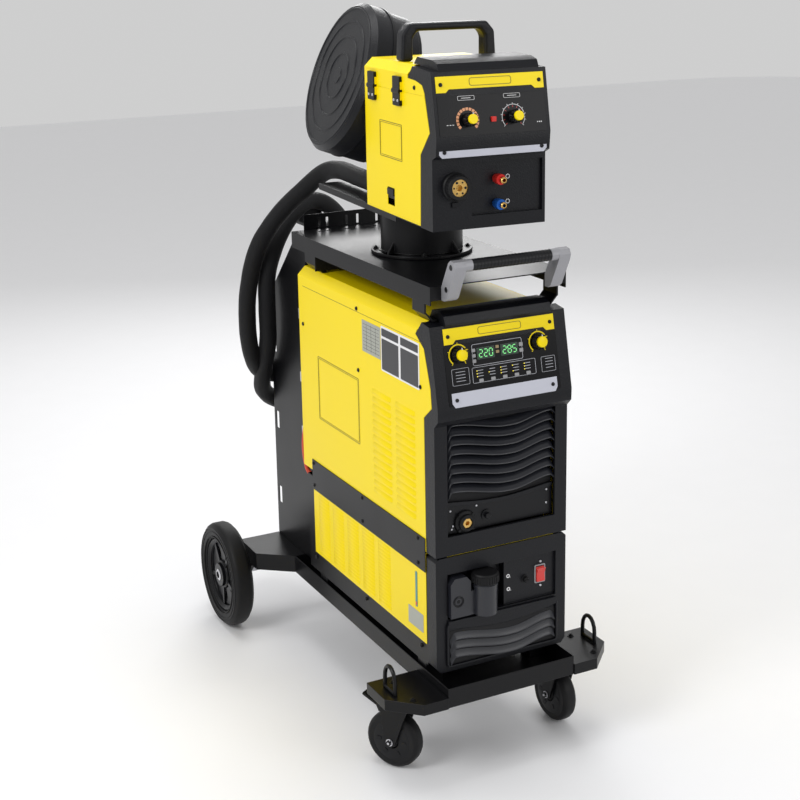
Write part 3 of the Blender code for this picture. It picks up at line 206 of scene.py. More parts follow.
def add(name, data):
    """A new object in the scene."""
    made = bpy.data.objects.new(name, data)
    bpy.context.scene.collection.objects.link(made)
    return made


def piece(name, mesh, finish, body="cart", slot="front", bevel=0.0, segments=2, angle=35, stands_for=()):
    """Makes a shown piece from a bmesh, and rides it on a body."""
    bmesh.ops.recalc_face_normals(mesh, faces=mesh.faces)
    data = bpy.data.meshes.new(name)
    mesh.to_mesh(data)
    mesh.free()
    made = add(name, data)
    data.materials.append(M[finish])
    if bevel:
        soft = made.modifiers.new("Bevel", "BEVEL")
        soft.width, soft.segments, soft.limit_method = bevel, segments, "ANGLE"
        soft.angle_limit = radians(30)
    data.shade_smooth()
    data.set_sharp_from_angle(angle=radians(angle))
    if bevel:
        made.modifiers.new("Normals", "WEIGHTED_NORMAL")
    if body:
        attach(made, body)
    if stands_for:
        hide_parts(*stands_for)
    return made


def refine(node, finish, bevel, segments):
    """The CAD node's own shape with rounded edges, shown in place of it."""
    source = frame["nodes"][node]
    mesh = bmesh.new()
    mesh.from_mesh(source.data)
    mesh.transform(source.matrix_world)
    bmesh.ops.remove_doubles(mesh, verts=mesh.verts, dist=2e-05)
    bmesh.ops.dissolve_limit(mesh, angle_limit=radians(1.0), verts=mesh.verts, edges=mesh.edges)
    body = next(body for body, nodes in frame["record"]["behaviour"]["bodies"].items() if node in nodes)
    slot = next(part["material_slot"] for part in frame["record"]["subparts"] if part["node"] == node)
    return piece(node + "_skin", mesh, finish, body, slot, bevel, segments, stands_for=(node,))


def rounded(width, height, radius, steps=5):
    """The outline of a rounded rectangle about the origin."""
    radius = min(radius, width / 2 - 1e-05, height / 2 - 1e-05)
    corners = ((1, 1, 0), (-1, 1, 90), (-1, -1, 180), (1, -1, 270))
    points = []
    for sx, sy, start in corners:
        for step in range(steps + 1):
            a = radians(start + 90 * step / steps)
            points.append((sx * (width / 2 - radius) + radius * cos(a), sy * (height / 2 - radius)
                + radius * sin(a)))
    return points


def bridge(mesh, rings):
    """Adds the quads between each ring of vertices and the next."""
    for a, b in zip(rings, rings[1:]):
        for i in range(len(a)):
            j = (i + 1) % len(a)
            mesh.faces.new((a[i], a[j], b[j], b[i]))


def tube(mesh, rings):
    """Adds the quads between rings of vertices, and a face at each end."""
    bridge(mesh, rings)
    mesh.faces.new(rings[0])
    mesh.faces.new(list(reversed(rings[-1])))


def polygon(radius, count, turn=0.0):
    """A regular outline about the origin, turned by some degrees."""
    angles = [radians(turn) + 2 * pi * i / count for i in range(count)]
    return [ray(radius, a) for a in angles]


def extrude(mesh, outline, low, high, place=None):
    """Adds a closed prism of a flat outline to a bmesh, from low to high along Z."""
    place = place or Matrix.Identity(4)
    rings = [[mesh.verts.new(place @ Vector((x, y, z))) for x, y in outline] for z in (low, high)]
    mesh.faces.new(list(reversed(rings[0])))
    mesh.faces.new(rings[1])
    bridge(mesh, rings)


def slab(mesh, x, y, width, height, low, high, radius=0.0, place=None, turn=0.0):
    """Adds a rounded plate, centred at x, y."""
    outline = rounded(width, height, radius) if radius else [(width / 2, height / 2),
        (-width / 2, height / 2), (-width / 2, -height / 2), (width / 2, -height / 2)]
    c, s = cos(turn), sin(turn)
    extrude(mesh, [(x + a * c - b * s, y + a * s + b * c) for a, b in outline], low, high, place)


def ray(length, angle):
    """The point that far from the origin, at an angle in radians."""
    return length * cos(angle), length * sin(angle)


def teeth(mesh, count, reach, width, height, low, high, radius, place, turn=0.0):
    """Adds rounded plates evenly round Z, each with its width pointing outwards."""
    for i in range(count):
        a = radians(turn) + 2 * pi * i / count
        slab(mesh, *ray(reach, a), width, height, low, high, radius, place, a)


def core(profile):
    """A profile for lathe that also covers both of its ends, from the axis outwards."""
    return [(0, profile[0][1]), *profile, (0, profile[-1][1])]


def lathe(mesh, profile, place, steps):
    """Adds (radius, height) pairs turned about Z. A profile that starts off the axis is a closed ring."""
    ring = profile[0][0] > 0
    rows = []
    for radius, height in profile:
        corners = polygon(radius, steps) if radius > ON_AXIS else [(0, 0)]
        rows.append([mesh.verts.new(place @ Vector((x, y, height))) for x, y in corners])
    pairs = list(zip(rows, rows[1:])) + ([(rows[-1], rows[0])] if ring else [])
    for a, b in pairs:
        for i in range(steps):
            j = (i + 1) % steps
            corners = [a[i % len(a)], a[j % len(a)], b[j % len(b)], b[i % len(b)]]
            unique = list(dict.fromkeys(corners))
            if len(unique) > 2:
                mesh.faces.new(unique)


def turned(name, profile, place, steps, finish, body="cart", slot="front", **more):
    """A piece that is a single lathe."""
    mesh = bmesh.new()
    lathe(mesh, profile, place, steps)
    return piece(name, mesh, finish, body, slot, **more)


def spot(place, x=0.0, y=0.0, z=0.0):
    """The same frame, moved along its own axes."""
    return place @ Matrix.Translation((x, y, z))


def sweep(mesh, points, section, up):
    """Adds a bar with a flat section carried along points."""
    points = [Vector(point) for point in points]
    rows = []
    up = Vector(up)
    for i, point in enumerate(points):
        along = (points[min(i + 1, len(points) - 1)] - points[max(i - 1, 0)]).normalized()
        side = along.cross(up).normalized()
        top = side.cross(along).normalized()
        rows.append([mesh.verts.new(point + side * a + top * b) for a, b in section])
    tube(mesh, rows)


def smooth_route(points, per_span):
    """A smooth curve through the given points."""
    points = [Vector(point) for point in points]
    ends = [2 * points[0] - points[1], *points, 2 * points[-1] - points[-2]]
    route = []
    for a, b, c, d in zip(ends, ends[1:], ends[2:], ends[3:]):
        for step in range(per_span):
            t = step / per_span
            route.append(0.5 * (2 * b + (c - a) * t + (2 * a - 5 * b + 4 * c - d) * t * t
                + (3 * b - 3 * c + d - a) * t ** 3))
    return [*route, points[-1]]


SCREW = [(0, 0.0012), (0.18, 0.0012), (0.3, 0.0022), (0.75, 0.0019), (0.97, 0.0008), (1.0, -0.0005),
    (0, -0.0005)]


def screws(name, places, radius, finish="dark_screw", body="cart"):
    """Pan-headed screws with a socket in each head."""
    mesh = bmesh.new()
    for place in places:
        lathe(mesh, [(r * radius, h * radius / SCREW_R) for r, h in SCREW], place, 14)
    return piece(name, mesh, finish, body, "frame")


def hex_bolts(name, places, radius, finish="dark_screw", body="cart", slot="frame", height=0.004):
    """Hexagon-headed bolts, each on a washer and with a raised middle."""
    mesh = bmesh.new()
    for place in places:
        lathe(mesh, core([(radius * 1.35, 0.0012), (radius * 1.35, -0.0004)]), place, 20)
        extrude(mesh, polygon(radius, 6, 10), 0.0011, height, place)
        lathe(mesh, core([(radius * 0.45, height + 0.0022), (radius * 0.5, height - 0.0005)]), place, 12)
    return piece(name, mesh, finish, body, slot, bevel=0.0004)


def outline_box(mesh, x, y, width, height, line, low, high, place, radius):
    """Adds a thin rounded frame drawn as a raised line."""
    outer, inner = rounded(width, height, radius), rounded(width - 2 * line, height - 2 * line,
        max(radius - line, 0.0003))
    rings = []
    for outline, z in ((outer, low), (outer, high), (inner, high), (inner, low)):
        rings.append([mesh.verts.new(place @ Vector((x + a, y + b, z))) for a, b in outline])
    bridge(mesh, rings + rings[:1])


# --- camera, light and floor ---
def make_camera():
    """The photo's viewpoint."""
    data = bpy.data.cameras.new("camera")
    camera = add("camera", data)
    bpy.context.scene.camera = camera
    data.sensor_width, data.lens, data.shift_y = 36.0, 67.784, -0.1
    yaw, pitch, roll = 0.47136, -0.24825, -0.01741
    ahead = Vector((sin(yaw) * cos(pitch), cos(yaw) * cos(pitch), sin(pitch)))
    level = Vector((cos(yaw), -sin(yaw), 0))
    above = level.cross(ahead)
    right = cos(roll) * level + sin(roll) * above
    top = cos(roll) * above - sin(roll) * level
    camera.matrix_world = Matrix.Translation(EYE) @ Matrix((right, top, -ahead)).transposed().to_4x4()


def make_light(name, place, target, size, power):
    """A rectangular lamp aimed at a point."""
    data = bpy.data.lights.new(name, "AREA")
    data.shape, data.size, data.size_y = "RECTANGLE", *size
    data.energy = power
    made = add(name, data)
    made.location = place
    made.rotation_euler = (Vector(target) - Vector(place)).to_track_quat("-Z", "Y").to_euler()


def make_stage():
    """A pale floor, an even surround and four lamps."""
    mesh = bmesh.new()
    extrude(mesh, rounded(24, 24, 2), -0.02, FLOOR_TOP)
    data = bpy.data.meshes.new("floor")
    mesh.to_mesh(data)
    mesh.free()
    floor = add("floor", data)
    data.materials.append(look("pale_floor", (0.9, 0.9, 0.91), 0.75, grain=60, bump=0.02, vary=0.01,
        specular=0.2))
    world = bpy.data.worlds.new("studio")
    world.use_nodes = True
    put(world.node_tree.nodes["Background"], {"Color": (1.0, 1.0, 1.0, 1), "Strength": 0.62})
    bpy.context.scene.world = world
    bpy.context.scene.view_settings.view_transform = "Standard"
    make_light("key", (-3.0, -1.0, 2.8), (0, 0, 0.8), (1.4, 1.4), 50)
    make_light("fill", (1.6, -3.4, 2.2), (0, 0, 0.8), (1.6, 1.6), 22)
    make_light("top", (0, 0.2, 3.8), (0, 0, 0.8), (2.0, 2.0), 40)
    make_light("back", (1.4, 3.2, 2.4), (0, 0, 0.9), (1.8, 1.4), 34)


# --- the hoses ---
def pack_route():
    """The hose pack's course: from the feeder, over the hook, once round, and into the power source."""
    start = [FEEDER @ Vector((-0.064, y, 1.2125)) for y in (0, 0.11, 0.22, 0.33)]
    fall = [(-0.048, 0.232, 1.2), (-0.08, 0.29, 1.152), (-0.128, 0.334, 1.09), (-0.175, 0.36, 1.01),
        (-0.2, 0.372, 0.915), (-0.206, 0.38, 0.815), (-0.19, 0.398, 0.722)]
    back = [(-0.145, 0.446, 0.664), (-0.06, 0.47, 0.64), (0.04, 0.474, 0.66), (0.11, 0.474, 0.735),
        (0.138, 0.474, 0.85), (0.128, 0.472, 0.97), (0.08, 0.466, 1.06), (0.01, 0.45, 1.095)]
    inner = [(-0.06, 0.415, 1.07), (-0.115, 0.388, 1.012), (-0.15, 0.372, 0.935), (-0.157, 0.366, 0.85),
        (-0.156, 0.372, 0.76), (-0.154, 0.42, 0.665)]
    tail = [(-0.137, 0.457, 0.605), (-0.08, 0.474, 0.565), (0, 0.43, 0.56), (0.045, 0.34, 0.62),
        (0.055, 0.26, 0.68), (0.055, 0.205, 0.7), (0.055, 0.149, 0.7)]
    return [*start, *fall, *back, *inner, *tail]


def sleeve_mesh(route, radius, sides=28):
    """A textile tube: slightly creased, with a raised seam along it."""
    mesh = bmesh.new()
    rows = []
    side = Vector((0, 0, 1))
    run = 0.0
    for i, point in enumerate(route):
        along = (route[min(i + 1, len(route) - 1)] - route[max(i - 1, 0)]).normalized()
        if i:
            run += (point - route[i - 1]).length
        side = (side - along * side.dot(along)).normalized()
        up = along.cross(side)
        row = []
        for k in range(sides):
            a = 2 * pi * k / sides
            crease = noise.noise(Vector((2.2 * cos(a), 2.2 * sin(a), run * 26)))
            long_crease = noise.noise(Vector((1.3 * cos(a) + 9, 1.3 * sin(a), run * 5)))
            seam = 0.0012 * exp(-((a - 1.2) / 0.16) ** 2)
            reach = radius * (0.945 + 0.035 * crease + 0.035 * long_crease) + seam
            row.append(mesh.verts.new(point + reach * (cos(a) * side + sin(a) * up)))
        rows.append(row)
    tube(mesh, rows)
    return mesh


def make_hoses():
    """The hose pack with its two glands, and the coolant return hose."""
    route = smooth_route(pack_route(), 12)
    pack = piece("hose_sleeve", sleeve_mesh(route, HOSE_R), "sleeve", None, "hose", angle=60,
        stands_for=("hose_pack",))
    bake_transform(pack)
    points = [(-0.138, 0.1412, 0.468), (-0.138, 0.154, 0.468), (-0.146, 0.17, 0.484), (-0.152, 0.172, 0.54),
        (-0.146, 0.17, 0.6), (-0.138, 0.162, 0.618), (-0.138, 0.152, 0.618)]
    mesh = bmesh.new()
    sweep(mesh, smooth_route(points, 8), polygon(HOSE_RED_R, 16), (1, 0, 0))
    piece("return_hose_red", mesh, "red_hose", "cart", "red_hose", angle=60, stands_for=("coolant_hose",))
    mesh = bmesh.new()
    gland = [(0.0235, 0), (0.034, 0), (0.034, 0.006), (0.029, 0.01), (0.0265, 0.03), (0.024, 0.034),
        (0.0235, 0.034)]
    lathe(mesh, gland, FEEDER @ flat((-1, 0, 0), (-0.064, 0.0062, 1.2125)), 32)
    piece("feeder_gland", mesh, "grey", "feeder")
    turned("source_gland", gland, flat((-1, 0, 0), (0.055, 0.1504, 0.7)), 32, "grey")


# --- carried-over shapes, with their edges softened ---
def ends(word):
    """What a * in a node's name stands for."""
    return ("left", "right") if "*" in word else ("",)


def make_refined():
    """The CAD solids that show, each with rounded edges and its own surface."""
    looks = {
        "black": "base_tray deck_wing_* rear_deck gas_cradle shelf swivel_pedestal strap_plate_* "
            "source_chassis cooler_chassis feeder_plate caster_fork_* caster_brake_* "
            "lifting_eye_*",
        "yellow": "source_cover cooler_cover feeder_case feeder_door",
        "textured": "source_bezel cooler_bezel feeder_bezel spool_housing spool_lid feeder_handle",
        "plastic": "push_grip source_fan door_latch source_knob_* feeder_knob_* rear_rim_*",
        "grey": "coolant_tank",
        "rubber": "caster_wheel_*",
        "tyre": "rear_tyre_*",
        "cast": "handle_arm_*",
        "red": "rocker_switch inch_button",
        "red_metal": "coupler_red",
        "blue_metal": "coupler_blue",
        "zinc": "rear_axle drive_roller pressure_roller",
    }
    widths = {"yellow": 0.0016, "textured": 0.0022, "black": 0.0014, "cast": 0.004, "plastic": 0.001,
        "grey": 0.003, "rubber": 0.002, "tyre": 0.003, "red": 0.0008, "red_metal": 0.0006,
        "blue_metal": 0.0006, "zinc": 0.0008}
    for name, nodes in looks.items():
        for node in [word.replace("*", side) for word in nodes.split() for side in ends(word)]:
            width = 0.0065 if node == "feeder_handle" else widths[name]
            refine(node, name, width, 3 if width > 0.0025 else 2)
    for node, name in (("source_inverter", "cast"), ("cooler_pump", "plastic"), ("wire_spool", "wire")):
        frame["nodes"][node].data.materials.clear()
        frame["nodes"][node].data.materials.append(M[name])


# --- the controls on the two front panels ---
SEGMENTS = {"0": "abcdef", "2": "abged", "5": "afgcd", "8": "abcdefg"}


def digits(mesh, text, x, y, height, place):
    """Adds seven-segment figures, left to right from x, y."""
    wide, bar = height * 0.52, height * 0.11
    spots = {"a": (0.5, 1, 0), "b": (1, 0.75, 1), "c": (1, 0.25, 1), "d": (0.5, 0, 0), "e": (0, 0.25, 1),
        "f": (0, 0.75, 1), "g": (0.5, 0.5, 0)}
    for i, figure in enumerate(text):
        left = x + i * (wide + bar * 2.4)
        for segment in SEGMENTS[figure]:
            u, v, upright = spots[segment]
            slab(mesh, left + u * wide, y + v * height, bar if upright else wide - bar * 1.3,
                height / 2 - bar * 1.3 if upright else bar, 0.0, 0.0005, bar * 0.4, place)


def ring_arc(mesh, place, inner, outer, start, end, low, high, steps=28):
    """Adds a flat arc, with angles in degrees clockwise from the top."""
    angles = [radians(90 - start - (end - start) * i / steps) for i in range(steps + 1)]
    outline = [ray(outer, a) for a in angles]
    outline += [ray(inner, a) for a in reversed(angles)]
    extrude(mesh, outline, low, high, place)


def plates(name, items, finish, place=None, bevel=0.0, body="cart", slot="front"):
    """Thin flat plates, each (x, y, width, height, low, high, radius)."""
    mesh = bmesh.new()
    for x, y, width, height, low, high, radius in items:
        slab(mesh, x, y, width, height, low, high, radius, place)
    return piece(name, mesh, finish, body, slot, bevel=bevel)


def knob_caps(name, place, radius):
    """The fluted skirt, the cap and the pointer of a control knob, which is also the body they ride on."""
    height = stands_out(name, place)
    mesh = bmesh.new()
    teeth(mesh, 14, radius * 0.93, radius * 0.13, radius * 0.16, height * 0.18, height * 0.86, radius * 0.05,
        place)
    piece(name + "_flutes", mesh, "plastic", name)
    turned(name + "_cap", core([(radius * 0.62, height + 0.0012), (radius * 0.69, height + 0.0004),
        (radius * 0.7, height - 0.005)]), place, 32, "yellow_film", name, "yellow")
    plates(name + "_mark", [(0, radius * 0.78, radius * 0.09, radius * 0.3, height - 0.0008, height + 0.0006,
        radius * 0.04)], "white", place, body=name)


def strip(name, place, half, height, depth, body, tab):
    """A film strip with deeper tabs at both ends, an empty embossed outline drawn as a dark line of painted shade,
    and two screws.
    """
    outline = [(-half, height / 2), (half, height / 2), (half, -height / 2 - tab),
        (half - 0.02, -height / 2 - tab), (half - 0.027, -height / 2), (-half + 0.027, -height / 2),
        (-half + 0.02, -height / 2 - tab), (-half, -height / 2 - tab)]
    mesh = bmesh.new()
    extrude(mesh, outline[::-1], 0.0, depth, place)
    piece(name, mesh, "yellow_film", body, "yellow", bevel=0.0005)
    mesh = bmesh.new()
    outline_box(mesh, 0, 0, half * 0.78, height * 0.62, 0.0009, depth - 0.0001, depth + 0.0005, place,
        height * 0.2)
    piece(name + "_outline", mesh, "line", body, "yellow")
    screws(name + "_screws", [spot(place, side * (half - 0.01), -tab * 0.5, depth) for side in (-1, 1)],
        0.0042, "dark_screw", body)


def silver_strip(name, place, half, height, body):
    """A silver film strip with notched ends and a screw at each."""
    outline = [(-half, height / 2), (half, height / 2), (half, -height * 0.2), (half - 0.006, -height / 2),
        (-half + 0.006, -height / 2), (-half, -height * 0.2)]
    mesh = bmesh.new()
    extrude(mesh, outline[::-1], 0.0, 0.001, place)
    piece(name, mesh, "silver", body, bevel=0.0004)
    screws(name + "_screws", [spot(place, side * (half - 0.011), 0, 0.001) for side in (-1, 1)], 0.0042,
        "dark_screw", body)


def make_source_panel():
    """The power source's panel: displays, keys, print, knob dials and the two strips."""
    face = panel(SOURCE_PANEL, 0.904)
    top = panel(SOURCE_PANEL, 0.971)
    low = panel(SOURCE_PANEL, 0.84)
    plates("source_panel_film", [(0, -0.015, 0.266, 0.124, -0.0001, 0.0007, 0.004)], "gloss", face, 0.0003)
    strip("source_strip", top, 0.1306, 0.025, 0.0012, "cart", 0.0075)
    silver_strip("source_band", low, 0.125, 0.03, "cart")
    mesh = bmesh.new()
    outline_box(mesh, -0.01, 0.02, 0.118, 0.044, 0.0008, *PRINT, face, 0.004)
    outline_box(mesh, 0.002, -0.021, 0.15, 0.032, 0.0007, *PRINT, face, 0.003)
    outline_box(mesh, -0.1, -0.019, 0.04, 0.034, 0.0006, *FINE, face, 0.003)
    outline_box(mesh, 0.108, -0.021, 0.034, 0.032, 0.0006, *FINE, face, 0.003)
    for column in range(5):
        for row in range(3):
            slab(mesh, -0.054 + column * 0.028, -0.012 - row * 0.0058, 0.013, 0.001, *FINE, 0, face)
    for row in range(4):
        slab(mesh, -0.1, -0.009 - row * 0.0062, 0.022, 0.0009, *FINE, 0, face)
        slab(mesh, 0.11, -0.01 - row * 0.0062, 0.018, 0.0009, *FINE, 0, face)
    piece("source_print", mesh, "ink")
    glass, lit = bmesh.new(), bmesh.new()
    for x, text in ((-0.038, "220"), (0.018, "285")):
        slab(glass, x, 0.022, 0.042, 0.024, FILM, 0.0022, 0.002, face)
        digits(lit, text, x - 0.0155, 0.0145, 0.015, spot(face, 0, 0, 0.0021))
    piece("source_displays", glass, "glass", bevel=0.0004)
    piece("source_digits", lit, "lit")
    keys = [(-0.066, 0.03 - row * 0.011, 0.0085, 0.007, FILM, 0.0024, 0.0015) for row in range(3)]
    keys += [(-0.054 + column * 0.028, -0.0325, 0.01, 0.0066, FILM, 0.0024, 0.0015) for column in range(5)]
    keys += [(0.046, y, 0.009, 0.008, FILM, 0.0024, 0.0015) for y in (0.028, 0.016)]
    plates("source_keys", keys, "key", face, 0.0005)
    plates("source_tan_keys", [(-0.01, y, 0.0075, 0.006, FILM, 0.0022, 0.001) for y in (0.0305, 0.0205)],
        "tan_key", face, 0.0004)
    plates("source_leds", [(-0.062 + column * 0.028, -0.0125 - row * 0.0058, 0.002, 0.002, FILM, 0.0014,
        0.0009) for column in range(5) for row in range(3) if (column + 2 * row) % 4 != 1], "led", face)
    for side, x, z in (("left", -0.101, 0.929), ("right", 0.088, 0.931)):
        place = spot(panel(SOURCE_PANEL, z), x)
        mesh = bmesh.new()
        ring_arc(mesh, place, 0.0196, 0.0222, -140, 140, *PRINT)
        for i in range(5):
            a = radians(90 + 140 - 70 * i)
            slab(mesh, *ray(0.0236, a), 0.003, 0.0012, *PRINT, 0, place, a)
        piece(f"source_dial_{side}", mesh, "yellow_film")
        knob_caps(f"source_knob_{side}", place, 0.0165)


def stands_out(node, place):
    """How far a node's farthest point stands out of a panel."""
    inverse = place.inverted()
    return max((inverse @ vertex.co).z for vertex in frame["nodes"][node].data.vertices)


def make_feeder_panel():
    """The wire feeder's panel, in the feeder's own turned frame."""

    def at(z, x=0.0):
        return FEEDER @ spot(panel(FEEDER_PANEL, z), x)
    strip("feeder_strip", at(1.472), 0.116, 0.025, 0.0012, "feeder", 0.0065)
    plates("feeder_panel_film", [(0, -0.003, 0.232, 0.078, -0.0001, 0.0007, 0.003)], "gloss", at(1.412),
        0.0003, body="feeder")
    place = FEEDER @ facing(0, -0.3601, 1.3405)
    silver_strip("feeder_band", place, 0.1165, 0.0225, "feeder")
    mesh = bmesh.new()
    for x in (-0.0546, 0.044):
        outline_box(mesh, x, 0.0305, 0.036, 0.0085, 0.0006, 0.0006, 0.0011, at(1.412), 0.002)
        slab(mesh, x, 0.0305, 0.02, 0.001, 0.0006, 0.001, 0, at(1.412))
    for i in range(3):
        slab(mesh, -0.098 + 0.006 * i, -0.02, 0.0034, 0.0012, 0.0006, 0.001, 0, at(1.412))
        slab(mesh, 0.096 + 0.004 * i, -0.024, 0.0022, 0.0022, 0.0006, 0.001, 0, at(1.412))
    piece("feeder_print", mesh, "white", "feeder")
    peach, white, red = bmesh.new(), bmesh.new(), bmesh.new()
    left, right = at(1.4, -0.0546), at(1.401, 0.044)
    for i in range(15):
        start = -135 + i * 18
        ring_arc(peach, left, 0.019, 0.0245, start + 2, start + 16, 0.0006, 0.0011, 4)
    ring_arc(white, right, 0.024, 0.025, -130, 130, 0.0006, 0.0011)
    for i in range(11):
        a = radians(90 + 130 - 26 * i)
        slab(white, *ray(0.0262, a), 0.0032, 0.0008, 0.0006, 0.0011, 0, right, a)
        slab(red, *ray(0.0205, a), 0.0036, 0.0008, 0.0006, 0.0011, 0, right, a)
    piece("feeder_dial_left", peach, "peach", "feeder")
    piece("feeder_dial_right", white, "white", "feeder")
    piece("feeder_dial_ticks", red, "red", "feeder")
    for side, place in (("left", left), ("right", right)):
        knob_caps(f"feeder_knob_{side}", place, 0.0135)


# --- grilles with wavy blades ---
def smooth(value, low, high):
    """A soft step from 0 at low to 1 at high."""
    t = min(1.0, max(0.0, (value - low) / (high - low)))
    return t * t * (3 - 2 * t)


def wave(u, sag):
    """How far a blade's lip drops at u, 0 to 1 along it: a sag in the middle and curled ends."""
    middle = sag * smooth(u, 0.05, 0.56) * (1 - 0.88 * smooth(u, 0.6, 0.95))
    left = 0.9 * sag * (1 - min(1.0, u / 0.04))
    right = 0.4 * sag * max(0.0, (u - 0.965) / 0.035)
    return -(middle + left + right)


def blade(mesh, half, z, sag, section, columns=56):
    """Adds one grille blade. section lists (y, height over the lip)."""
    rows = []
    for column in range(columns + 1):
        u = column / columns
        lift = z + wave(u, sag)
        rows.append([mesh.verts.new((half * (2 * u - 1), y, lift + dz)) for y, dz in section])
    tube(mesh, rows)


def make_source_grille():
    """Eight wavy blades in the power source's window, over the plate that holds the current socket."""
    pitch, half, sag = 0.0205, 0.1297, 0.0195
    section = [(-0.4985, 0.0148), (-0.501, 0.0148), (-0.5085, 0.006), (-0.5122, 0.0022), (-0.5142, 0.0008),
        (-0.5146, -0.0006), (-0.5134, -0.0015), (-0.4985, -0.0015)]
    mesh = bmesh.new()
    for row in range(8):
        blade(mesh, half, 0.782 - row * pitch, sag, section)
    piece("source_blades", mesh, "grey", angle=50, stands_for=("source_grille",))
    # painted shade: a near-black sheet behind the blades stands in for the shade inside the window
    plates("source_grille_shade", [(0, 0.6645, 0.2594, 0.241, 0.496, 0.4982, 0)], "painted_shade", facing(0, 0, 0))
    mesh = bmesh.new()
    columns = 32
    top = [(half * (2 * i / columns - 1), 0.615 - 0.011 * sin(pi * i / columns) ** 1.3)
        for i in range(columns + 1)]
    extrude(mesh, [(-half, 0.544), (half, 0.544), *reversed(top)], 0.498, 0.5035, facing(0, 0, 0))
    piece("socket_plate", mesh, "plastic", bevel=0.0006)
    mesh = bmesh.new()
    band = top + [(x, z - 0.0085) for x, z in reversed(top)]
    extrude(mesh, band[::-1], 0.503, 0.506, facing(0, 0, 0))
    piece("socket_plate_band", mesh, "textured", bevel=0.0012)
    face = facing(0, SOCKET_Y, 0)
    screws("socket_plate_screws", [spot(face, x, z) for x, z in ((-0.118, 0.595), (-0.115, 0.554),
        (0.116, 0.6), (0.116, 0.57), (-0.056, 0.596), (-0.112, 0.561))], 0.0026, "zinc")
    place = facing(-0.0841, -0.5, 0.566)
    mesh = bmesh.new()
    lathe(mesh, [(0.0112, -0.002), (0.024, -0.002), (0.0255, 0.005), (0.024, 0.009), (0.0185, 0.0105),
        (0.018, 0.017), (0.015, 0.019), (0.0112, 0.019)], place, 40)
    teeth(mesh, 4, 0.0215, 0.008, 0.005, 0.005, 0.012, 0.0015, place, 45)
    piece("output_ring", mesh, "rubber", bevel=0.0004, stands_for=("output_socket",))
    mesh = bmesh.new()
    hexagon = polygon(0.0112, 6)
    inner = polygon(0.005, 6)
    rings = [[mesh.verts.new(place @ Vector((x, y, z))) for x, y in outline] for outline,
        z in ((hexagon, 0), (hexagon, 0.0165), (inner, 0.0165), (inner, 0.006))]
    bridge(mesh, rings)
    mesh.faces.new(rings[0])
    mesh.faces.new(rings[-1])
    piece("output_brass", mesh, "brass", "cart", "brass", bevel=0.0006)
    cap = facing(-0.032, SOCKET_Y, 0.571)
    turned("control_socket_cap", core([(0.006, 0.0115), (0.0068, 0.0105), (0.0068, 0.003), (0.012, 0.0025),
        (0.012, -0.0005)]), cap, 28, "plastic")


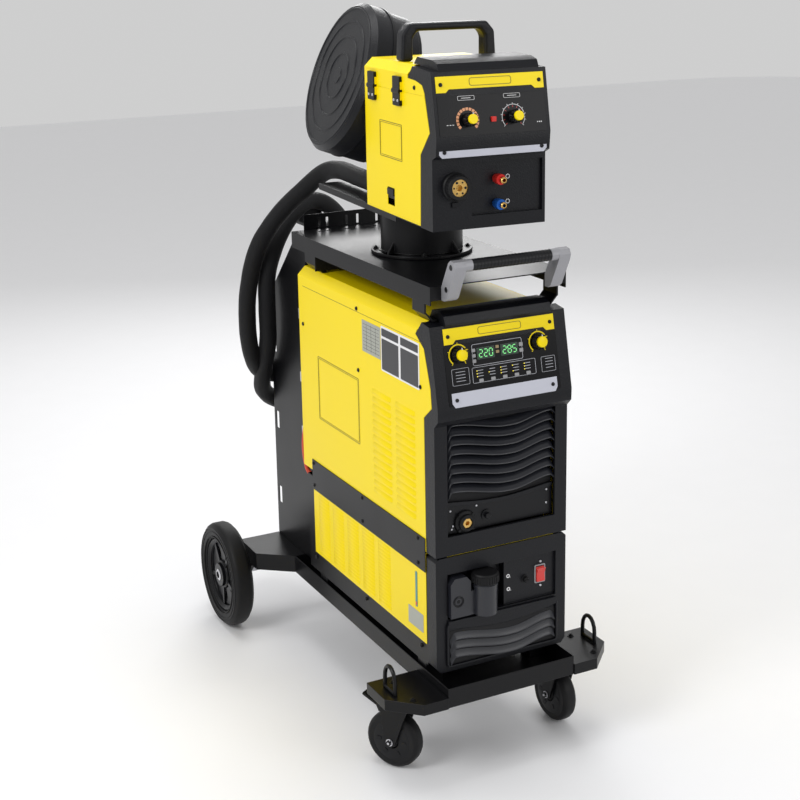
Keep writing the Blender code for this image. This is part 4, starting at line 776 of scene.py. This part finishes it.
def make_cooler_front():
    """The cooler's front: blades, band, frame, icons, fuse, switch frame, filler cap and boss."""
    face = facing(0, COOLER_RIM_Y, 0)
    # painted shade: a near-black plate behind the blades stands in for the shade inside the grille
    plates("cooler_grille_shade", [(0, 0.293, 0.262, 0.078, SUNK, 0.0006, 0.004)], "painted_shade", face)
    mesh = bmesh.new()
    section = [(COOLER_RIM_Y, 0.014), (-0.5162, 0.014), (-0.519, 0.006), (-0.5212, 0.0022), (-0.5222, 0.0008),
        (-0.5224, -0.0006), (-0.5212, -0.0016), (COOLER_RIM_Y, -0.0016)]
    for row in range(3):
        blade(mesh, 0.129, 0.313 - row * 0.02, 0.018, section)
    piece("cooler_blades", mesh, "grey", angle=50)
    mesh = bmesh.new()
    columns = 32
    half = 0.133
    top = [(half * (2 * i / columns - 1), 0.356 + 0.001 * cos(pi * i / columns)) for i in range(columns + 1)]
    low = [(half * (2 * i / columns - 1), 0.34 - 0.015 * sin(pi * (i / columns) ** 1.1))
        for i in range(columns + 1)]
    extrude(mesh, low + top[::-1], SUNK, 0.0066, face)
    piece("cooler_band", mesh, "textured", bevel=0.002)
    mesh = bmesh.new()
    outline_box(mesh, 0, 0.301, 0.274, 0.1, 0.005, SUNK, 0.0068, face, 0.009)
    piece("cooler_grille_frame", mesh, "textured", bevel=0.0012)
    mesh = bmesh.new()
    for x, z in ((0.0185, 0.423), (0.0195, 0.393)):
        lathe(mesh, [(0.0022, 0), (0.0044, 0), (0.0044, 0.0006), (0.0022, 0.0006)], facing(x, COOLER_Y, z),
            24)
        slab(mesh, x + 0.0052, z - 0.0035, 0.0026, 0.0009, 0.0, 0.0006, 0, facing(0, COOLER_Y, 0))
    piece("cooler_icons", mesh, "white")
    fuse = facing(0.06, COOLER_Y, 0.408)
    mesh = bmesh.new()
    lathe(mesh, core([(0.005, 0.01), (0.0062, 0.0085), (0.0065, 0.0025), (0.009, 0.002), (0.009, -0.0005)]),
        fuse, 24)
    slab(mesh, 0, 0, 0.0085, 0.0016, 0.0095, 0.0112, 0.0005, fuse)
    piece("fuse_holder", mesh, "rubber")
    mesh = bmesh.new()
    outline_box(mesh, 0.098, 0.4125, 0.027, 0.042, 0.003, -0.0005, 0.0016, facing(0, COOLER_Y, 0), 0.003)
    piece("rocker_frame", mesh, "key", bevel=0.0006)
    screws("rocker_screws", [facing(0.0995, COOLER_Y, z) for z in (0.44, 0.385)], 0.003, "zinc")
    cap = Matrix.Translation((-0.0485, -0.526, 0.4333))
    mesh = bmesh.new()
    lathe(mesh, core([(0.023, 0.0232), (0.0262, 0.0225), (0.0285, 0.0195), (0.0285, 0.002), (0.0262, 0)]),
        cap, 48)
    teeth(mesh, 30, 0.0288, 0.0022, 0.0034, 0.0026, 0.0185, 0.0009, cap)
    piece("filler_cap_knurled", mesh, "rubber", "filler_cap", stands_for=("filler_cap",))
    turned("filler_collar", [(0.0255, -0.006), (0.0272, -0.0055), (0.0272, -0.002), (0.0255, -0.001)], cap,
        40, "grey")
    gauge = facing(-0.112, -0.5258, 0.4)
    mesh = bmesh.new()
    lathe(mesh, [(0.008, -0.001), (0.0125, -0.001), (0.0125, 0.0012), (0.011, 0.002), (0.008, 0.0012)], gauge,
        32)
    lathe(mesh, [(0, 0.0006), (0.003, 0.0014), (0.004, 0.0002), (0, -0.0005)], gauge, 16)
    piece("boss_recess", mesh, "plastic")
    plates("cover_edge", [(0, 0.5, 0.26, 0.003, 0.506, 0.51, 0)], "yellow", facing(0, 0, 0), slot="yellow")


# --- the sheet-metal sides ---
def louvre(mesh, x, y, width, height, depth, place):
    """Adds one pressed louvre, a closed hood, deepest near its lower edge."""
    low = [(x - width / 2, y - height / 2, 0), (x + width / 2, y - height / 2, 0)]
    lip = [(x + width / 2 - depth, y - height / 2 + 0.0006, depth), (x - width / 2 + depth,
        y - height / 2 + 0.0006, depth)]
    mid = [(x + width / 2 - depth, y + height * 0.05, depth * 0.75), (x - width / 2 + depth,
        y + height * 0.05, depth * 0.75)]
    top = [(x + width / 2, y + height / 2, 0), (x - width / 2, y + height / 2, 0)]
    v = [mesh.verts.new(place @ Vector(point)) for point in (*low, *lip, *mid, *top)]
    for corners in ((0, 1, 2, 3), (3, 2, 4, 5), (5, 4, 6, 7), (1, 6, 4, 2), (0, 3, 5, 7), (0, 7, 6, 1)):
        mesh.faces.new([v[i] for i in corners])


def make_louvres(name, columns, rows, width, height, depth, place, body):
    """A field of louvres, with a strip of painted shade under each hood."""
    hoods, shade_gaps = bmesh.new(), bmesh.new()
    for x in columns:
        for y in rows:
            louvre(hoods, x, y, width, height, depth, place)
            slab(shade_gaps, x, y - height / 2 - 0.0004, width - 2 * depth, 0.001, SUNK, 0.0003, 0, place)
    piece(name, hoods, "yellow", body, "yellow", angle=60)
    piece(name + "_gaps", shade_gaps, "line", body, "yellow")


def make_side(side, sign):
    """One side of the power source and of the cooler. sign is -1 on the left and 1 on the right."""
    place = flat((0, sign, 0), (sign * SIDE_X, 0, 0))
    make_louvres(f"source_louvres_{side}", [sign * -0.279, sign * -0.389],
        [0.566 + 0.0174 * i for i in range(14)], 0.086, 0.01, 0.0038, place, "cart")
    make_louvres(f"cooler_louvres_{side}", [sign * (0.043 - 0.08 * i) for i in range(5)],
        [0.306 + 0.0088 * i for i in range(17)], 0.06, 0.006, 0.0026, place, "cart")
    # painted shade: the pressed outlines and the long line above them are drawn in a dark yellow
    lines = bmesh.new()
    outline_box(lines, sign * -0.057, 0.7235, 0.22, 0.153, 0.0012, SUNK, 0.0005, place, 0.003)
    outline_box(lines, sign * -0.057, 0.7235, 0.212, 0.145, 0.0008, SUNK, 0.0005, place, 0.002)
    slab(lines, sign * -0.17, 0.953, 0.6, 0.0009, SUNK, 0.0003, 0, place)
    piece(f"side_outline_{side}", lines, "line", "cart", "yellow")
    plates(f"rating_plate_{side}", [(sign * -0.2355, 0.9065, 0.089, 0.071, SUNK, 0.0008, 0.002)], "label",
        place, 0.0003)
    rows = [(sign * -0.2355, 0.934 - 0.0078 * i, 0.078, 0.0007, *FINE, 0) for i in range(8)]
    rows += [(sign * (-0.2355 + offset), 0.9065, 0.0007, 0.06, *FINE, 0) for offset in (-0.022, 0, 0.022)]
    plates(f"rating_lines_{side}", rows, "dim", place)
    plates(f"blank_notice_{side}", [(sign * -0.3695, 0.8985, 0.173, 0.099, SUNK, 0.0008, 0.003)], "white",
        place, 0.0003)
    fields = [(sign * y, z, 0.078, height, *FINE, 0.002) for z, height in ((0.887, 0.068), (0.935, 0.017))
        for y in (-0.326, -0.413)]
    plates(f"blank_fields_{side}", fields, "dim", place)
    plates(f"level_label_{side}", [(sign * -0.425, 0.3325, 0.068, 0.041, SUNK, 0.0008, 0.002)], "label",
        place, 0.0003)
    plates(f"level_slot_{side}", [(sign * -0.429, 0.402, 0.009, 0.082, SUNK, 0.0009, 0.0042)], "teal", place,
        0.0004)
    plates(f"level_mark_{side}", [(sign * -0.429, 0.369, 0.006, 0.008, 0.0008, 0.0013, 0.002)], "red", place,
        slot="red")
    dark = [(0.132, 0.86), (-0.165, 0.96), (-0.1675, 0.8206), (-0.46, 0.8575), (0.098, 0.279),
        (-0.179, 0.279), (-0.447, 0.279)]
    screws(f"side_screws_{side}", [spot(place, sign * y, z) for y, z in dark], 0.0048)
    strap_x = abs(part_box(f"strap_plate_{side}")[0 if sign < 0 else 1].x)
    outer = flat((0, sign, 0), (sign * strap_x, 0, 0))
    screws(f"strap_screws_{side}", [spot(outer, sign * y, z) for y in (0.093, -0.173, -0.441)
        for z in (0.523, 0.467)], 0.0046)


def make_feeder_sides():
    """The outline and screw of each side of the feeder, and its door's two hinges."""
    for side, sign in SIDES:
        body = "feeder_door" if side == "left" else "feeder"
        place = FEEDER @ flat((0, sign, 0), (sign * FEEDER_SIDE_X, 0, 0))
        # painted shade: the pressed outline is drawn as dark yellow lines
        lines = bmesh.new()
        outline_box(lines, sign * -0.1345, 1.3405, 0.119, 0.075, 0.0011, SUNK, 0.0005, place, 0.003)
        outline_box(lines, sign * -0.1345, 1.3405, 0.112, 0.068, 0.0007, SUNK, 0.0005, place, 0.002)
        piece(f"feeder_outline_{side}", lines, "line", body, "yellow")
        screws(f"feeder_screws_{side}", [spot(place, sign * -0.262, 1.458)], 0.0046, "dark_screw", "feeder")
    place = FEEDER @ flat((0, -1, 0), (-0.1243, 0, 0))
    for name, y in (("rear", -0.043), ("front", -0.18)):
        plates(f"hinge_leaf_{name}", [(-y, 1.429, 0.036, 0.026, SUNK, 0.0062, 0.003)], "black", place, 0.0004,
            body="feeder_door", slot="frame")
        screws(f"hinge_screws_{name}", [spot(place, -y + dx, 1.427, 0.006) for dx in (-0.01, 0.01)], 0.0032,
            "zinc", "feeder_door")
        turned(f"hinge_barrel_{name}", core([(0.0066, -0.0185), (0.0066, 0.0185)]),
            FEEDER @ facing(-0.1265, y, 1.4455), 16, "black", "feeder", "frame")
        plates(f"hinge_upper_{name}", [(-y, 1.462, 0.036, 0.026, SUNK, 0.0062, 0.003)], "black", place,
            0.0004, body="feeder", slot="frame")


def make_torch_face():
    """The central torch connector: knurled ring, brass face with its pin holes drawn as dark discs of painted
    shade, and the coupler mouths.
    """
    place = FEEDER @ facing(-0.0753, -0.3425, 1.27)
    mesh = bmesh.new()
    lathe(mesh, [(0.0172, -0.006), (0.0285, -0.006), (0.0285, 0.006), (0.0262, 0.0085), (0.025, 0.023),
        (0.0235, 0.0255), (0.0172, 0.0255)], place, 48)
    teeth(mesh, 24, 0.0252, 0.002, 0.0036, 0.009, 0.0215, 0.0008, place)
    piece("torch_ring", mesh, "rubber", "feeder", stands_for=("torch_socket",))
    turned("torch_brass", core([(0.006, 0.012), (0.006, 0.0215), (0.0075, 0.0225), (0.0172, 0.0225),
        (0.0172, -0.004)]), place, 40, "brass", "feeder", "brass", bevel=0.0003)
    # painted shade: the pin holes are near-black discs on the brass face
    mesh = bmesh.new()
    for a, r in ((0, 0.0026), (60, 0.0018), (120, 0.0026), (180, 0.0018), (240, 0.0018), (300, 0.0022)):
        lathe(mesh, core([(r, 0.0229), (r, 0.022)]), spot(place, *ray(0.0122, radians(a))), 14)
    piece("torch_pin_shade", mesh, "painted_shade", "feeder")
    plates("torch_boss", [(-0.0753, 1.234, 0.016, 0.01, SUNK, 0.005, 0.002)], "plastic",
        FEEDER @ facing(0, -0.3425, 0), 0.0008, body="feeder")
    for name, z in (("red", 1.279), ("blue", 1.229)):
        mouth = FEEDER @ facing(0.018, -0.3355, z)
        turned(f"coupler_tip_{name}", [(0.0036, 0.03), (0.0066, 0.03), (0.0066, 0.0345), (0.0052, 0.036),
            (0.0036, 0.036)], mouth, 24, "brass", "feeder", "brass")
        turned(f"coupler_collar_{name}", [(0.0092, 0.006), (0.0104, 0.006), (0.011, 0.008), (0.011, 0.02),
            (0.0104, 0.0225), (0.0066, 0.0245), (0.0066, 0.009)], mouth, 28, f"{name}_metal", "feeder", name)
        turned(f"coupler_icon_{name}", [(0.0036, 0), (0.0046, 0), (0.0046, 0.0006), (0.0036, 0.0006)],
            spot(mouth, 0.025, 0.002), 20, "white", "feeder")


# --- drum, wheels, handle and cart details ---
def make_drum_details():
    """The spool lid's raised rings and the seam round the drum."""
    place = DRUM @ flat((0, -1, 0), (0, 0, 0))
    mesh = bmesh.new()
    for r in (0.154, 0.125, 0.09, 0.052):
        lathe(mesh, [(r - 0.0035, -0.0005), (r + 0.0035, -0.0005), (r + 0.0015, 0.0018),
            (r - 0.0015, 0.0018)], place, 64)
    lathe(mesh, core([(0.018, 0.0016), (0.02, -0.0005)]), place, 32)
    piece("lid_rings", mesh, "textured", "spool_lid")
    turned("drum_seam", [(0.1695, -0.0545), (0.1718, -0.0545), (0.1718, -0.049), (0.1695, -0.049)], place, 64,
        "plastic", "feeder")


def joint(name):
    """A joint of the frame, by its name."""
    return next(j for j in frame["joints"] if j["name"] == name)


def around(name, out, sign=1):
    """A frame on a joint's axis, out metres along it, with Z outwards."""
    found = joint(name)
    axis = Vector(found["axis"]).normalized() * sign
    side = axis.cross(Vector((0, 0, 1))).normalized()
    up = axis.cross(side)
    made = Matrix((side, up, axis)).transposed().to_4x4()
    made.translation = Vector(found["pos_m"]) + axis * out
    return made


def make_wheel_details():
    """The rear wheels' ribs, rings and axle caps, and the casters' bolts, hubs and races."""
    for side, sign in SIDES:
        body = f"rear_wheel_{side}"
        for face, way in (("outer", sign), ("inner", -sign)):
            place = around(f"rear_{side}_roll", 0.0, way)
            mesh = bmesh.new()
            lathe(mesh, [(0.085, 0.01), (0.0945, 0.0165), (0.0945, 0.0185), (0.09, 0.0195), (0.082, 0.013)],
                place, 48)
            lathe(mesh, [(0.0305, 0.009), (0.038, 0.0085), (0.036, 0.013), (0.0315, 0.015)], place, 40)
            teeth(mesh, 5, 0.059, 0.05, 0.011, 0.007, 0.0125, 0.003, place, 90)
            piece(f"rim_ribs_{side}_{face}", mesh, "plastic", body, bevel=0.001)
            mesh = bmesh.new()
            for r in (0.101, 0.114, 0.123):
                lathe(mesh, [(r - 0.0016, 0.0235), (r + 0.0016, 0.0235), (r + 0.0008, 0.0262),
                    (r - 0.0008, 0.0262)], place, 56)
            piece(f"tyre_rings_{side}_{face}", mesh, "tyre", body, "tyre")
        place = around(f"rear_{side}_roll", 0.0, sign)
        turned(f"axle_cap_{side}", core([(0.012, 0.025), (0.015, 0.0232), (0.015, 0.0222)]), place, 32,
            "zinc", body, "zinc")
        hub = f"caster_{side}_roll"
        hex_bolts(f"caster_bolts_{side}", [around(hub, 0.0262, 1), around(hub, 0.0262, -1)], 0.0062, "zinc",
            f"caster_{side}", "zinc")
        mesh = bmesh.new()
        for way in (1, -1):
            place = around(hub, 0.0, way)
            lathe(mesh, [(0.018, 0.015), (0.044, 0.015), (0.045, 0.0168), (0.042, 0.0176), (0.018, 0.0176)],
                place, 36)
            teeth(mesh, 6, 0.031, 0.012, 0.009, 0.0165, 0.0186, 0.002, place)
        piece(f"caster_hub_{side}", mesh, "plastic", f"caster_wheel_{side}")
        top = Vector(joint(f"caster_{side}_swivel")["pos_m"])
        turned(f"caster_race_{side}", core([(0.02, 0.162), (0.028, 0.17), (0.028, 0.176)]),
            Matrix.Translation((top.x, top.y, 0)), 32, "zinc", "cart", "zinc")


def make_cart_details():
    """The ribbed grip, the bolts, the strap buckles, and the shelf's slots as dark plates of painted shade."""
    mesh = bmesh.new()
    grip = flat((0, 0, 1), (0, -0.5475, 1.1195), (0, 1, 0))
    profile = [(0, -0.0912), (0.0112, -0.0912)]
    for i in range(22):
        x = -0.086 + 0.0078 * i
        profile += [(0.0112, x), (0.012, x + 0.0014), (0.012, x + 0.0042), (0.0112, x + 0.0056)]
    lathe(mesh, [*profile, (0.0112, 0.0912), (0, 0.0912)], grip, 32)
    piece("grip_ribs", mesh, "rubber", "cart", "rubber", stands_for=("push_grip",))
    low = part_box("swivel_pedestal")[0].z
    bolts = []
    for angle in (65, 155, 245, 335):
        x, y = ray(0.1015, radians(angle))
        bolts.append(Matrix.Translation((x, PIVOT[1] + y, low + 0.007)))
    hex_bolts("pedestal_bolts", bolts, 0.0052)
    shelf_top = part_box("shelf")[1].z
    places = [Matrix.Translation((x, y, 0.2062)) for x in (-0.225, 0.225) for y in (-0.53, -0.44)]
    hex_bolts("wing_bolts", places, 0.0058)
    mesh = bmesh.new()
    for sign in (-1, 1):
        place = flat((0, sign, 0), (sign * 0.1345, 0, 0))
        for y, z in ((-0.525, 1.07), (-0.545, 1.118)):
            lathe(mesh, [(0, 0.0008), (0.0052, 0.0008), (0.006, 0), (0, -0.0005)], spot(place, sign * y, z),
                20)
    piece("arm_bolts", mesh, "dark_screw", "cart", "frame")
    mesh = bmesh.new()
    for sign in (-1, 1):
        place = flat((0, sign, 0), (sign * 0.127, 0, 0))
        for z in (0.86, 0.7, 0.56):
            slab(mesh, sign * 0.232, z, 0.006, 0.026, SUNK, 0.0022, 0.002, place)
    piece("strap_buckles", mesh, "zinc", "cart", "zinc", bevel=0.0005)
    # painted shade: the shelf's slots are near-black plates on its top
    mesh = bmesh.new()
    place = Matrix.Translation((0, 0, shelf_top))
    for x in (-0.09, -0.03, 0.03, 0.09):
        slab(mesh, x, 0.15, 0.034, 0.01, SUNK, 0.0004, 0.0045, place)
    piece("shelf_slot_shade", mesh, "painted_shade", "cart", "frame")


def make_rear():
    """The guard over the fan in the power source's back."""
    place = flat((-1, 0, 0), (0, 0.156, 0.88))
    mesh = bmesh.new()
    for r in (0.016, 0.028, 0.04, 0.052):
        lathe(mesh, [(r - 0.001, 0.0012), (r + 0.001, 0.0012), (r + 0.001, 0.003), (r - 0.001, 0.003)], place,
            40)
    for i in range(4):
        slab(mesh, 0, 0, 0.112, 0.0022, SUNK, 0.0014, 0, place, pi * i / 4)
    piece("fan_guard", mesh, "dark_screw", "cart", "frame")


make_camera()
make_stage()
make_hoses()
make_refined()
make_source_panel()
make_feeder_panel()
make_source_grille()
make_cooler_front()
make_side("left", -1)
make_side("right", 1)
make_feeder_sides()
make_torch_face()
make_drum_details()
make_wheel_details()
make_cart_details()
make_rear()
